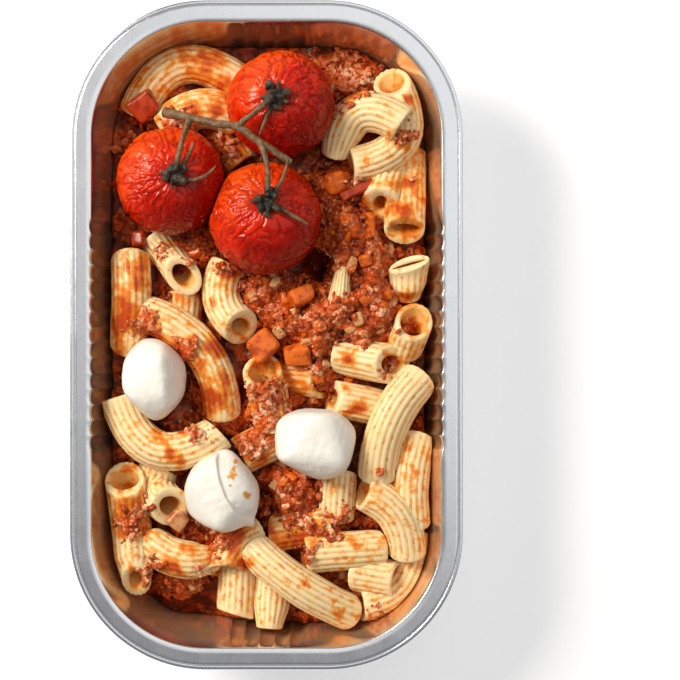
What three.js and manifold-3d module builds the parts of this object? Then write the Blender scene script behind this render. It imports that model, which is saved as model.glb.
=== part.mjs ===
// Macaroni bolognese in a smooth-wall aluminium tray, with three roasted tomatoes still on
// their vine and three balls of mozzarella.
//
// Millimetres, +Z up. The origin is the centre of the tray's underside, +Y runs along the tray
// and +X across it. Places in the food are written [x, y, z] with z measured from the rim's
// top face, so that a negative z is that far below the rim.

import * as THREE from "three";
import { mergeVertices } from "three/addons/utils/BufferGeometryUtils.js";
import Module from "manifold-3d";

// ---- driving dimensions -----------------------------------------------------------------

const TRAY = {
  length: 194,
  width: 114,
  height: 38,
  flange: 6.4, // rim width, curled edge included
  cornerRadius: 33, // at the flange's inner edge
  draft: 0.22, // how far the walls lean in for each millimetre down
  floorRadius: 4, // bend between wall and floor
  skin: 0.4,
  cornerFacets: 8,
};
const CURL = { width: 1.4, thickness: 1.3, groove: 0.3 };
const FLUTE = { pitch: 4.5, depth: 0.93, bottom: 6, fade: 4, alongSide: 15, alongEnd: 5, facets: 8 };

const GAP = 0.35; // between pieces that touch
const SMOOTHING = 0.18; // detail under this is left out where pieces have been joined

const MACARONI = { radius: 5.8, bore: 3.7, boreDepth: 8, sides: 10, steps: 5 };
const TOMATO = { flattening: 0.87, dimple: 1.6, columns: 16, rows: 10 };
const STEM = { radius: 1.1, sides: 6, knob: 2.7, sepal: 1 };
const MINCE = { radius: 2.7, spacing: 8.5, proud: 0.8, seed: 11 };

const INNER_X = TRAY.width / 2 - TRAY.flange;
const INNER_Y = TRAY.length / 2 - TRAY.flange;
const SIDE_X = INNER_X - TRAY.cornerRadius; // half of each end's straight run
const SIDE_Y = INNER_Y - TRAY.cornerRadius; // half of each side's straight run

// ---- the food's surface and layout --------------------------------------------------------

// The sauce lies in a low mound that falls away to the tray's walls.
const SAUCE = { middle: -15, endDrop: 5, sideDrop: 2, cell: 5.2, lumps: 0.8 };

// Where mince is piled up: [x, y, spread, rise].
const MINCE_PILES = [
  [26, 33, 8, 7],
  [27, 20, 9, 8],
  [24, 8, 10, 8],
  [12, 3, 9, 7],
  [35, 2, 8, 6],
  [20, 44, 5, 6],
  [3, 8, 8, 5],
  [-4, 14, 5, 6],
  [14, -9, 6, 5],
  [2, -22, 7, 5],
  [-16, -20, 6, 6],
  [-22, -4, 5, 5],
  [-20, 27, 5, 4],
  [8, -48, 7, 6],
  [18, -57, 6, 5],
  [-22, -58, 6, 4],
  [-28, -73, 8, 3],
  [36, -50, 7, 5],
];

// Each piece of macaroni: its two ends, how far its middle bows to the left of the way from
// one to the other, how far it lifts, and which end shows its bore. "wide" and "high" squash
// its section, and "bore" gives a squashed opening its own half sizes.
const PASTA = {
  back_left_arc: { from: [-35, 63, -18], to: [-7, 70.5, -18], bow: 9.5 },
  behind_stem: { from: [-27, 63.5, -12.5], to: [-8, 62, -13.5], bow: 3.5 },
  between_tomatoes: { from: [-17, 58, -17], to: [-6, 48, -18] },
  left_upright: { from: [-39, 22, -13], to: [-40, -4, -13], bow: -0.8 },
  open_end_left: { from: [-35, 30, -18], to: [-24.5, 18.5, -8], lift: -3, open: ["to"] },
  under_open_end: { from: [-25, 12, -19], to: [-26, -1, -20] },
  centre_left_open: {
    from: [-10, 21, -14],
    to: [-8.5, 1.5, -9],
    bow: -3.5,
    open: ["to"],
    bore: [2.9, 3.9],
  },
  long_arc_left: { from: [-34, 3.5, -10], to: [-13.5, -22, -14], bow: 6.5 },
  big_bottom_arc: { from: [-44, -18, -12], to: [-15, -28.5, -8], bow: -10.5 },
  left_bottom_upright: {
    from: [-41.5, -43, -9],
    to: [-40, -71, -11],
    lift: -4,
    wide: 0.95,
    open: ["from", "to"],
    bore: [3.6, 3.4],
  },
  small_open_centre: { from: [-30, -38, -17], to: [-29, -50.5, -9], open: ["to"] },
  centre_tube: { from: [-8, -37, -15], to: [4, -25, -14] },
  lower_left_arch: { from: [-33, -68, -13], to: [-16, -66, -11], bow: 4.5, open: ["to"] },
  lower_centre: { from: [-3, -58, -15], to: [-13, -69, -11], open: ["to"] },
  bottom_short: { from: [-9, -69, -16], to: [-9.5, -80.5, -14] },
  bottom_pale: { from: [1.5, -72, -17], to: [1, -84.5, -14], wide: 0.92 },
  big_diagonal: { from: [-1, -65.5, -8], to: [22.5, -81, -10], bow: -1 },
  filled_near_middle: { from: [11, -64.5, -12], to: [33, -63, -12], open: ["from"] },
  sauced_low: { from: [2, -58.5, -15], to: [18, -56, -13], high: 0.85 },
  under_mozzarella: { from: [21, -41, -14], to: [20, -54, -14] },
  sauced_upright: { from: [-1.5, -10.5, -8], to: [0.5, -27, -12], open: ["from"] },
  dark_ring: { from: [5, -12, -17], to: [16.5, -13, -13], open: ["to"] },
  right_centre_low: { from: [19.5, -18, -11], to: [32, -22, -15], open: ["from"] },
  open_right: { from: [21, -5.5, -14], to: [36, -8.5, -8], open: ["to"], bore: [2.8, 3.9] },
  right_big_diagonal: { from: [44, -13, -9], to: [33, -40, -11], bow: -3 },
  pinched_right: {
    from: [41, 20.5, -6],
    to: [42, 12, -17],
    high: 0.8,
    open: ["from"],
    bore: [3.8, 0.6],
  },
  flat_open_right: {
    from: [40, 31, -7],
    to: [41, 54, -16],
    high: 0.82,
    open: ["from"],
    bore: [4.2, 2.2],
  },
  dark_bore_right: { from: [32.5, 38, -9], to: [36, 49, -15], open: ["from"], bore: [2.4, 3.4] },
  corner_hook: {
    from: [24.5, 50, -11],
    to: [36.5, 74, -10],
    bow: -10,
    open: ["from", "to"],
    bore: [2.6, 3.8],
  },
  top_right_bridge: { from: [19.5, 54, -10], to: [39.5, 61.5, -4], bow: 8 },
  back_right: { from: [16, 74, -19], to: [33, 73, -18], bow: 2 },
  filled_right: { from: [42, 4.5, -7], to: [39, -7, -14], open: ["from"] },
  half_buried: { from: [22.5, 19, -11], to: [21, 2, -14] },
  right_wall: { from: [44.5, -31, -13], to: [42.5, -56, -11], bow: -1.5, open: ["to"] },
  right_middle: { from: [28, -46, -10], to: [41, -64, -10], bow: 4, open: ["from"] },
  right_corner_arc: { from: [27, -79, -14], to: [43, -60, -17], bow: -6 },
  right_lower: { from: [26, -70, -13], to: [38, -72, -11], open: ["to"] },
};

// Diced carrot and other vegetables that show on top: [x, y, z, edge, turn in degrees].
const DICE = [
  [10, 12.5, -7, 7.5, 25],
  [-2, -3, -8, 8.5, 40],
  [7, -6.5, -8, 8, 12],
  [33, 8, -7.5, 5, 30],
  [29, 21.5, -7, 4.5, 15],
  [29.5, 32, -8, 5.5, 5],
  [19.5, 45, -9, 6, 20],
  [26.5, -22, -9, 6, 8],
  [-36, 68, -12, 7, 35],
  [-38, 28.5, -14, 5, 5],
  [-28, -52, -9, 5, 50],
  [35, -50, -9, 7, 28],
];

const TOMATOES = {
  tomato_top: { at: [4, 67, -4], radius: 15.8 },
  tomato_left: { at: [-28, 45, -5], radius: 16 },
  tomato_right: { at: [-0.5, 34, -3.5], radius: 16.5 },
};
// The left and right tomatoes press on each other here, along this way from left to right.
const PRESS = { at: [-14.3, 39.4], from: "tomato_left", to: "tomato_right" };

// Balls of mozzarella: half sizes along x, y and z, turn in degrees, and how square or how
// drawn out to a point each one is.
const MOZZARELLA = {
  mozzarella_left: { at: [-33, -13, -5], size: [9.1, 12.3, 9], turn: 8, square: 0.05, point: 0.05 },
  mozzarella_right: { at: [14.3, -31.8, -5], size: [12.4, 10.8, 9.5], turn: -8, square: 0.35, point: 0.12 },
  mozzarella_bottom: { at: [-13, -46, -4.8], size: [11.6, 12.4, 9.5], turn: 0, square: 0.1, point: 0.2 },
};
const CHEESE = { columns: 14, rows: 10 };

// The vine's main stem and, for each tomato, the stalk that leaves it.
const VINE_ROUTE = [
  [-29.5, 64.2, -0.5],
  [-21.5, 62.3, 4.5],
  [-14, 60.3, 7.5],
  [-8, 59.4, 8.5],
  [-2.5, 56.8, 9.3],
  [2.5, 53.8, 9.8],
  [7, 50.2, 9.6],
];
const STALKS = {
  tomato_left: [[-21.5, 62.3, 4.5], [-23.5, 56.5, 9.5], [-26.6, 48.5, 10.2]],
  tomato_top: [[-8, 59.4, 8.5], [-3.5, 63.5, 11.5], [3, 69.4, 11.2]],
  tomato_right: [[-1.5, 56.2, 9.4], [0.6, 49.5, 11.8], [1, 40, 12.2]],
};
// Sepals of each calyx: way in degrees and length.
const SEPALS = {
  tomato_left: [[42, 9], [10, 6], [-20, 10], [150, 4.5], [-110, 4]],
  tomato_top: [[-115, 10], [170, 4], [60, 4], [-40, 5], [0, 4]],
  tomato_right: [[58, 9], [-32, 12], [160, 6], [-100, 4.5], [110, 5]],
};

// ---- solids -----------------------------------------------------------------------------

const wasm = await Module();
wasm.setup();

const up = (z) => z + TRAY.height;
const place = ([x, y, z]) => new THREE.Vector3(x, y, up(z));

// A closed three.js geometry as a solid that can be cut and joined.
function solid(geometry) {
  const bare = geometry.clone();
  bare.deleteAttribute("normal");
  bare.deleteAttribute("uv");
  const merged = mergeVertices(bare, 1e-3);
  return new wasm.Manifold(
    new wasm.Mesh({
      numProp: 3,
      vertProperties: new Float32Array(merged.attributes.position.array),
      triVerts: new Uint32Array(merged.index.array),
    }),
  );
}

// A solid's triangles as a geometry.
function geometryOf(made) {
  const mesh = made.getMesh();
  const stride = mesh.numProp;
  const corners = new Float32Array(mesh.numVert * 3);
  for (let i = 0; i < mesh.numVert; i++)
    for (let k = 0; k < 3; k++) corners[i * 3 + k] = mesh.vertProperties[i * stride + k];
  const geometry = new THREE.BufferGeometry();
  geometry.setAttribute("position", new THREE.BufferAttribute(corners, 3));
  geometry.setIndex(new THREE.BufferAttribute(new Uint32Array(mesh.triVerts), 1));
  geometry.computeVertexNormals();
  return geometry;
}

const join = (solids) => solids.reduce((all, one) => all.add(one));

// The largest piece of a solid, without loose scraps, sealed hollows or needless triangles.
function wholePiece(made, smoothing = SMOOTHING) {
  const pieces = made.asOriginal().simplify(smoothing).decompose();
  return pieces.reduce((a, b) => (b.volume() > a.volume() ? b : a));
}

function moveVertices(geometry, change) {
  const position = geometry.attributes.position;
  const point = new THREE.Vector3();
  for (let i = 0; i < position.count; i++) {
    point.fromBufferAttribute(position, i);
    change(point);
    position.setXYZ(i, point.x, point.y, point.z);
  }
  return geometry;
}

// A number from 0 to 1 for each call, the same on every run.
function seeded(seed) {
  let state = seed;
  return () => {
    state = (state * 16807) % 2147483647;
    return state / 2147483647;
  };
}

// ---- tray -------------------------------------------------------------------------------

// A round body turned from [offset, z] points, offset from the flange's inner edge, with its
// four quarters then pushed apart into a rectangle with round corners.
function roundedBody(profile) {
  const facets = TRAY.cornerFacets;
  const columns = 4 * (facets + 1);
  const points = profile.map(([offset, z]) =>
    offset === null ? new THREE.Vector2(0, z) : new THREE.Vector2(TRAY.cornerRadius + offset, z),
  );
  const turned = new THREE.LatheGeometry(points, columns);
  const { position } = turned.attributes;
  const step = (2 * Math.PI) / columns;
  moveVertices(turned, (p) => {
    const [x, height, z] = [p.x, p.y, p.z];
    const reach = Math.hypot(x, z);
    p.set(0, 0, height);
    if (reach < 1e-6) return;
    const turn = (Math.atan2(x, z) + 2 * Math.PI + 1e-6) % (2 * Math.PI);
    const column = Math.round(turn / step) % columns;
    const quarter = Math.floor(column / (facets + 1));
    const angle = (quarter + (column % (facets + 1)) / facets) * (Math.PI / 2);
    const sideX = quarter === 0 || quarter === 3 ? 1 : -1;
    const sideY = quarter < 2 ? 1 : -1;
    p.x = reach * Math.cos(angle) + sideX * SIDE_X;
    p.y = reach * Math.sin(angle) + sideY * SIDE_Y;
  });
  position.needsUpdate = true;
  return turned;
}

const wallOffset = (z) => (z - TRAY.height) * TRAY.draft;

// One flute of the wall, leaning with it and fading out at its foot. "grow" adds the skin's
// thickness.
function flute(grow, top, outward, [x, y]) {
  const chord = FLUTE.pitch / 2 + 0.02;
  const radius = (chord * chord + FLUTE.depth * FLUTE.depth) / (2 * FLUTE.depth);
  const sunk = radius - FLUTE.depth;
  const length = (top - FLUTE.bottom) * Math.hypot(1, TRAY.draft);
  const profile = [
    [0, 0],
    [sunk + grow * 0.9, 0],
    [radius + grow, FLUTE.fade],
    [radius + grow, length],
    [0, length],
  ];
  const made = new THREE.LatheGeometry(profile.map(([r, h]) => new THREE.Vector2(r, h)), FLUTE.facets);
  made.rotateX(Math.PI / 2); // upright
  made.rotateY(Math.atan(TRAY.draft));
  made.translate(wallOffset(FLUTE.bottom) - sunk, 0, FLUTE.bottom);
  made.rotateZ(outward);
  made.translate(x, y, 0);
  return solid(made);
}

function flutes(grow, top) {
  const slides = (count) => Array.from({ length: count }, (_, i) => (i - (count - 1) / 2) * FLUTE.pitch);
  const along = slides(FLUTE.alongSide);
  const across = slides(FLUTE.alongEnd);
  const made = [
    ...along.map((s) => flute(grow, top, 0, [INNER_X, s])),
    ...along.map((s) => flute(grow, top, Math.PI, [-INNER_X, s])),
    ...across.map((s) => flute(grow, top, Math.PI / 2, [s, INNER_Y])),
    ...across.map((s) => flute(grow, top, -Math.PI / 2, [s, -INNER_Y])),
  ];
  return join(made).asOriginal().simplify(SMOOTHING / 10);
}

// The inside of the tray, drawn back from it by a gap, up to a height.
function insideProfile(gap, top) {
  const floor = TRAY.skin + gap;
  const bend = TRAY.floorRadius;
  const lean = wallOffset(floor);
  return [
    [null, floor],
    [lean - gap - bend, floor],
    [lean - gap - bend * 0.35, floor + bend * 0.3],
    [wallOffset(floor + bend) - gap, floor + bend],
    [wallOffset(top) - gap, top],
  ];
}

function tray() {
  const { height, skin, flange } = TRAY;
  const bend = TRAY.floorRadius;
  const curlIn = flange - CURL.width;
  const outer = roundedBody([
    [null, 0],
    [wallOffset(0) + skin - bend, 0],
    [wallOffset(0) + skin - bend * 0.35, bend * 0.3],
    [wallOffset(bend) + skin, bend],
    [skin, height - skin],
    [curlIn + 0.1, height - skin],
    [curlIn + 0.1, height - CURL.thickness],
    [flange - 0.4, height - CURL.thickness],
    [flange, height - CURL.thickness + 0.4],
    [flange, height - 0.4],
    [flange - 0.4, height],
    [curlIn + 0.4, height],
    [curlIn + 0.05, height - CURL.groove],
    [curlIn - 0.3, height],
    [null, height],
  ]);
  const inner = roundedBody([...insideProfile(0, height + 1), [null, height + 1]]);
  const shell = solid(outer).add(flutes(skin, height - skin / 2));
  const hollow = solid(inner).add(flutes(0, height + 1));
  return wholePiece(shell.subtract(hollow), SMOOTHING / 10);
}

// ---- macaroni and sauce -------------------------------------------------------------------

// Height of the bare sauce at a point.
function sauceTop(x, y) {
  const fall =
    SAUCE.endDrop * Math.pow(Math.abs(y) / INNER_Y, 4) + SAUCE.sideDrop * Math.pow(Math.abs(x) / INNER_X, 4);
  const rise = MINCE_PILES.reduce(
    (sum, [px, py, spread, height]) =>
      sum + height * Math.exp(-((x - px) ** 2 + (y - py) ** 2) / (spread * spread)),
    0,
  );
  return SAUCE.middle - fall + Math.min(rise, 8);
}

// A curve from one end to the other that bows sideways and lifts in its middle. Its sections
// stay upright: x across and y towards the top.
class Bow extends THREE.Curve {
  constructor({ from, to, bow = 0, lift = 0 }) {
    super();
    this.start = place(from);
    this.end = place(to);
    const way = this.end.clone().sub(this.start);
    const left = new THREE.Vector3(-way.y, way.x, 0).normalize();
    this.push = left.multiplyScalar(bow).add(new THREE.Vector3(0, 0, lift));
  }

  getPoint(t, target = new THREE.Vector3()) {
    return target.lerpVectors(this.start, this.end, t).addScaledVector(this.push, 4 * t * (1 - t));
  }

  computeFrenetFrames(segments) {
    const frames = { tangents: [], normals: [], binormals: [] };
    const skyward = new THREE.Vector3(0, 0, 1);
    for (let i = 0; i <= segments; i++) {
      const tangent = this.getTangentAt(i / segments);
      const across = new THREE.Vector3().crossVectors(skyward, tangent).normalize();
      frames.tangents.push(tangent);
      frames.normals.push(across);
      frames.binormals.push(new THREE.Vector3().crossVectors(tangent, across));
    }
    return frames;
  }
}

// The stretch of another curve between two of its parameters.
class Stretch extends THREE.Curve {
  constructor(whole, begin, finish) {
    super();
    Object.assign(this, { whole, begin, finish });
  }

  getPoint(t) {
    const at = THREE.MathUtils.lerp(this.begin, this.finish, t);
    return this.whole.getPoint(at);
  }

  computeFrenetFrames(segments) {
    return Bow.prototype.computeFrenetFrames.call(this, segments);
  }
}

function tubeAlong(path, halfWidth, halfHeight, sides, steps) {
  const section = new THREE.Shape();
  for (let i = 0; i < sides; i++) {
    const angle = ((i + 0.5) / sides) * 2 * Math.PI;
    const [x, y] = [halfWidth * Math.cos(angle), halfHeight * Math.sin(angle)];
    if (i) section.lineTo(x, y);
    else section.moveTo(x, y);
  }
  section.closePath();
  return solid(new THREE.ExtrudeGeometry(section, { steps, extrudePath: path, bevelEnabled: false }));
}

function macaroni(piece) {
  const { radius, sides, steps, boreDepth } = MACARONI;
  const { wide = 1, high = 1, open = [], bore = [MACARONI.bore, MACARONI.bore] } = piece;
  const path = new Bow(piece);
  const length = path.getLength();
  const reach = Math.min(boreDepth / length, 0.4);
  let tube = tubeAlong(path, radius * wide, radius * high, sides, steps);
  for (const end of open) {
    const [begin, finish] = end === "from" ? [-0.04, reach] : [1 - reach, 1.04];
    tube = tube.subtract(tubeAlong(new Stretch(path, begin, finish), bore[0], bore[1], 8, 1));
  }
  return tube;
}

// A block whose lumpy top follows the sauce, to be cut to the tray's inside.
function sauceBlock() {
  const { width, length } = TRAY;
  const cells = [width, length].map((extent) => Math.round(extent / SAUCE.cell));
  const block = new THREE.BoxGeometry(width, length, 1, ...cells, 1);
  return moveVertices(block, (p) => {
    const lumps = SAUCE.lumps * Math.sin(p.x * 1.7 + 3 * Math.sin(p.y)) * Math.cos(p.y * 1.3 + p.x);
    p.z = p.z < 0 ? -5 : up(sauceTop(p.x, p.y) + lumps);
  });
}

function lump(x, y, z, radius, random) {
  const made = new THREE.IcosahedronGeometry(radius, 0);
  made.scale(0.8 + 0.5 * random(), 0.8 + 0.5 * random(), 0.7 + 0.3 * random());
  made.rotateZ(random() * Math.PI);
  made.rotateX(random() * Math.PI);
  made.translate(x, y, up(z));
  return solid(made);
}

// Lumps of mince on the piles, on a jittered grid.
function minceLumps() {
  const random = seeded(MINCE.seed);
  const lumps = [];
  for (let y = -80; y <= 80; y += MINCE.spacing)
    for (let x = -42; x <= 42; x += MINCE.spacing) {
      const px = x + (random() - 0.5) * MINCE.spacing;
      const py = y + (random() - 0.5) * MINCE.spacing;
      const size = MINCE.radius * (0.8 + 0.5 * random());
      const onPile = sauceTop(px, py) > SAUCE.middle + 2.2;
      if (onPile) lumps.push(lump(px, py, sauceTop(px, py) + MINCE.proud, size, random));
    }
  return lumps;
}

function dice() {
  return DICE.map(([x, y, z, edge, turn]) => {
    const cube = new THREE.BoxGeometry(edge, edge * 0.85, edge * 0.8);
    cube.rotateX(0.35);
    cube.rotateZ(THREE.MathUtils.degToRad(turn));
    cube.translate(x, y, up(z));
    return solid(cube);
  });
}

function heap(toppings) {
  const fill = solid(roundedBody([...insideProfile(GAP, up(12)), [null, up(12)]]));
  const core = solid(sauceBlock()).intersect(fill);
  const tubes = Object.values(PASTA).map(macaroni);
  const whole = join([core, ...tubes, ...dice(), ...minceLumps()]);
  const cleared = toppings.reduce((rest, one) => rest.subtract(one), whole.intersect(fill));
  return wholePiece(cleared);
}

// ---- toppings -----------------------------------------------------------------------------

const tomatoTop = ({ at, radius }) => at[2] + radius * TOMATO.flattening - TOMATO.dimple;

// A tomato, or with "grow" the space that it needs in the food. It is flattened where its
// neighbour presses on it.
function tomato(name, grow = 0) {
  const { at, radius } = TOMATOES[name];
  const half = radius + grow;
  const ball = new THREE.SphereGeometry(half, TOMATO.columns, TOMATO.rows);
  ball.rotateX(Math.PI / 2);
  const press = new THREE.Vector3(
    TOMATOES[PRESS.to].at[0] - TOMATOES[PRESS.from].at[0],
    TOMATOES[PRESS.to].at[1] - TOMATOES[PRESS.from].at[1],
    0,
  ).normalize();
  const way = name === PRESS.from ? 1 : name === PRESS.to ? -1 : 0;
  moveVertices(ball, (p) => {
    const around = Math.hypot(p.x, p.y) / half;
    p.z = p.z * TOMATO.flattening - (p.z > 0 ? TOMATO.dimple * Math.exp(-((around / 0.3) ** 2)) : 0);
    p.add(place(at));
    const over = way * press.dot(new THREE.Vector3(p.x - PRESS.at[0], p.y - PRESS.at[1], 0));
    const limit = grow - GAP / 2;
    if (way && over > limit) p.addScaledVector(press, -way * (over - limit));
  });
  return solid(ball);
}

function mozzarella(name, grow = 0) {
  const { at, size, turn, square, point } = MOZZARELLA[name];
  const ball = new THREE.SphereGeometry(1, CHEESE.columns, CHEESE.rows);
  ball.rotateX(Math.PI / 2);
  moveVertices(ball, (p) => {
    const way = Math.atan2(p.y, p.x);
    const around = Math.hypot(p.x, p.y);
    const corner = 1 + square * 0.22 * (1 - Math.cos(4 * way)) * around;
    const drawn = 1 + point * Math.max(0, Math.cos(way - Math.PI / 2)) ** 4 * around;
    p.x *= corner * (size[0] + grow);
    p.y *= drawn * (size[1] + grow);
    p.z *= size[2] + grow;
  });
  ball.rotateZ(THREE.MathUtils.degToRad(turn));
  ball.translate(...place(at).toArray());
  return solid(ball);
}

function rod(points, radius, steps) {
  const path = new THREE.CatmullRomCurve3(points.map(place));
  return tubeAlong(path, radius, radius, STEM.sides, steps);
}

function sepal(root, way, length) {
  const leaf = new THREE.ConeGeometry(STEM.sepal, length, 5);
  leaf.rotateZ(-Math.PI / 2);
  leaf.translate(length / 2 + 0.8, 0, 0);
  // It follows the tomato's crown down.
  moveVertices(leaf, (p) => {
    p.z -= (p.x * p.x) / 36;
  });
  leaf.rotateZ(THREE.MathUtils.degToRad(way));
  leaf.translate(root.x, root.y, root.z);
  return solid(leaf);
}

function vine(tomatoes) {
  const pieces = [rod(VINE_ROUTE, STEM.radius, 9)];
  for (const [name, route] of Object.entries(STALKS)) {
    pieces.push(rod(route, STEM.radius * 0.85, 4));
    const end = route.at(-1);
    const knobAt = place([end[0], end[1], tomatoTop(TOMATOES[name]) + GAP + STEM.knob * 0.62]);
    const knob = new THREE.SphereGeometry(STEM.knob, 8, 5);
    knob.rotateX(Math.PI / 2);
    knob.scale(1.15, 1, 0.75);
    knob.translate(...knobAt.toArray());
    pieces.push(solid(knob));
    for (const [way, length] of SEPALS[name]) {
      const root = knobAt.clone().add(new THREE.Vector3(0, 0, 0.2));
      pieces.push(sepal(root, way, length));
    }
  }
  return wholePiece(tomatoes.reduce((rest, one) => rest.subtract(one), join(pieces)));
}

// ---- the dish -----------------------------------------------------------------------------

const metal = new THREE.MeshStandardMaterial({ color: 0xb9babd, roughness: 0.35, metalness: 1 });
const pasta = new THREE.MeshStandardMaterial({ color: 0xd98a4c, roughness: 0.5, metalness: 0 });
const skinRed = new THREE.MeshStandardMaterial({ color: 0xc8200c, roughness: 0.25, metalness: 0 });
const curd = new THREE.MeshStandardMaterial({ color: 0xf1eee6, roughness: 0.45, metalness: 0 });
const stalk = new THREE.MeshStandardMaterial({ color: 0x5a4a34, roughness: 0.8, metalness: 0 });

const dish = new THREE.Group();
function node(name, made, material) {
  const mesh = new THREE.Mesh(geometryOf(made), material);
  mesh.name = name;
  dish.add(mesh);
}

const tomatoNames = Object.keys(TOMATOES);
const cheeseNames = Object.keys(MOZZARELLA);
const roomForToppings = [
  ...tomatoNames.map((name) => tomato(name, GAP)),
  ...cheeseNames.map((name) => mozzarella(name, GAP)),
];

node("tray", tray(), metal);
node("macaroni_bolognese", heap(roomForToppings), pasta);
for (const name of tomatoNames) node(name, tomato(name), skinRed);
for (const name of cheeseNames) node(name, mozzarella(name), curd);
node("vine", vine(tomatoNames.map((name) => tomato(name, GAP))), stalk);

export default dish;
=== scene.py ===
"""Macaroni bolognese in a smooth-wall aluminium tray, with roasted tomatoes and mozzarella.

Lengths are millimetres, except where a name ends in _m. A place in the food is (x, y, z) with z
measured from the rim's top face, so that a negative z is that far below the rim.
"""

import logging
import math
from collections.abc import Callable, Sequence
from dataclasses import dataclass, field
from enum import Enum
from functools import partial
from random import Random

import bpy
import numpy as np
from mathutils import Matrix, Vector, noise
from mathutils.bvhtree import BVHTree
from mathutils.kdtree import KDTree


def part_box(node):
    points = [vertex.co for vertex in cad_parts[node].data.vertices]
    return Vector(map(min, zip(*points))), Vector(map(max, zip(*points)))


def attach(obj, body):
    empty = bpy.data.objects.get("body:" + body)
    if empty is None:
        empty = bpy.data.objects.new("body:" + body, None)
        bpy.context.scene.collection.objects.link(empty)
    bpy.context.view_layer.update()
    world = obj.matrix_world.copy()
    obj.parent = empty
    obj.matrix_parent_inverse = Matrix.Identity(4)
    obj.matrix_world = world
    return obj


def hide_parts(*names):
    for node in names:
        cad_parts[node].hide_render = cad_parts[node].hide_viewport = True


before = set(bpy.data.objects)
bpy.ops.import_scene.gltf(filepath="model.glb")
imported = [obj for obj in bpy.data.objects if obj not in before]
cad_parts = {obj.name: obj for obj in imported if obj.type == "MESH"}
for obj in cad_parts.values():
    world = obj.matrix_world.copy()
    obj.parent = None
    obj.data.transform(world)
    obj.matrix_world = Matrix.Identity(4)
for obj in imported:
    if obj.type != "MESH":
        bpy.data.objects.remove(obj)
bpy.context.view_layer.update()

LOG = logging.getLogger("macaroni_bolognese")
MM = 0.001
BODY = "root"
TRAY_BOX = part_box("tray")
RIM = TRAY_BOX[1].z / MM
OUTER_X = TRAY_BOX[1].x / MM
OUTER_Y = TRAY_BOX[1].y / MM
# Added to places from the rim, this gives them from the origin, about which a piece is modelled.
FROM_ORIGIN = (0, 0, RIM)

Place = tuple[float, float, float]
Socket = bpy.types.NodeSocket
Adder = Callable[..., Socket]


# ---- layout of the food ----------------------------------------------------------------------


@dataclass(frozen=True)
class Pile:
    """A pile of mince: where it is, how far it spreads and how high it rises."""

    x: float
    y: float
    spread: float
    rise: float


PILES = [
    Pile(25, 34, 8, 8.5),
    Pile(27, 20, 9, 8),
    Pile(24, 8, 10, 8),
    Pile(12, 3, 9, 7),
    Pile(35, 2, 8, 6),
    Pile(20, 44, 5, 6),
    Pile(3, 8, 8, 5),
    Pile(-4, 14, 5, 6),
    Pile(14, -9, 6, 5),
    Pile(2, -22, 7, 5),
    Pile(-16, -20, 6, 6),
    Pile(-22, -4, 5, 5),
    Pile(-20, 27, 5, 4),
    Pile(8, -48, 7, 6),
    Pile(18, -57, 6, 5),
    Pile(-22, -58, 6, 4),
    Pile(-27, -73, 8, 6),
    Pile(36, -50, 7, 5),
    # Pits, where the sauce shows deep between the piles.
    Pile(15, 19.5, 4.5, -7),
    Pile(-6.5, -17, 3.5, -4),
    Pile(-22.5, -21, 3.5, -3),
    Pile(44, 10.5, 3, -4),
    Pile(-1, -47, 2.5, -4),
    Pile(-19.5, 5, 3, -3),
    Pile(-20, -86, 11, -8),
    Pile(-38, -80, 8, -6),
]


@dataclass(frozen=True)
class Cut:
    """One end of a piece of macaroni: how its cut leans, and what shape it has.

    slant is how far the cut leans back at its top, so that a positive one shows the hole from
    above. skew is the same at its left side. bore gives half sizes of the hole, and taper
    narrows and flattens the end.
    """

    slant: float = -0.3
    skew: float = 0.0
    bore: tuple[float, float] = (4.0, 4.0)
    taper: tuple[float, float] = (1.0, 1.0)


@dataclass(frozen=True)
class Bend:
    """One piece of macaroni: its two ends and the way that it bends between them.

    bow is how far its middle lies to the left of the straight way, and lift how far above it.
    wide and high squash its section, and sauce is how much of it is stained, from 0 to 1.
    """

    start: Place
    finish: Place
    bow: float = 0.0
    lift: float = 0.0
    cuts: tuple[Cut, Cut] = (Cut(), Cut())
    wide: float = 1.0
    high: float = 1.0
    sauce: float = 0.2


SHUT = Cut()
OPEN = Cut(0.4)

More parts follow.
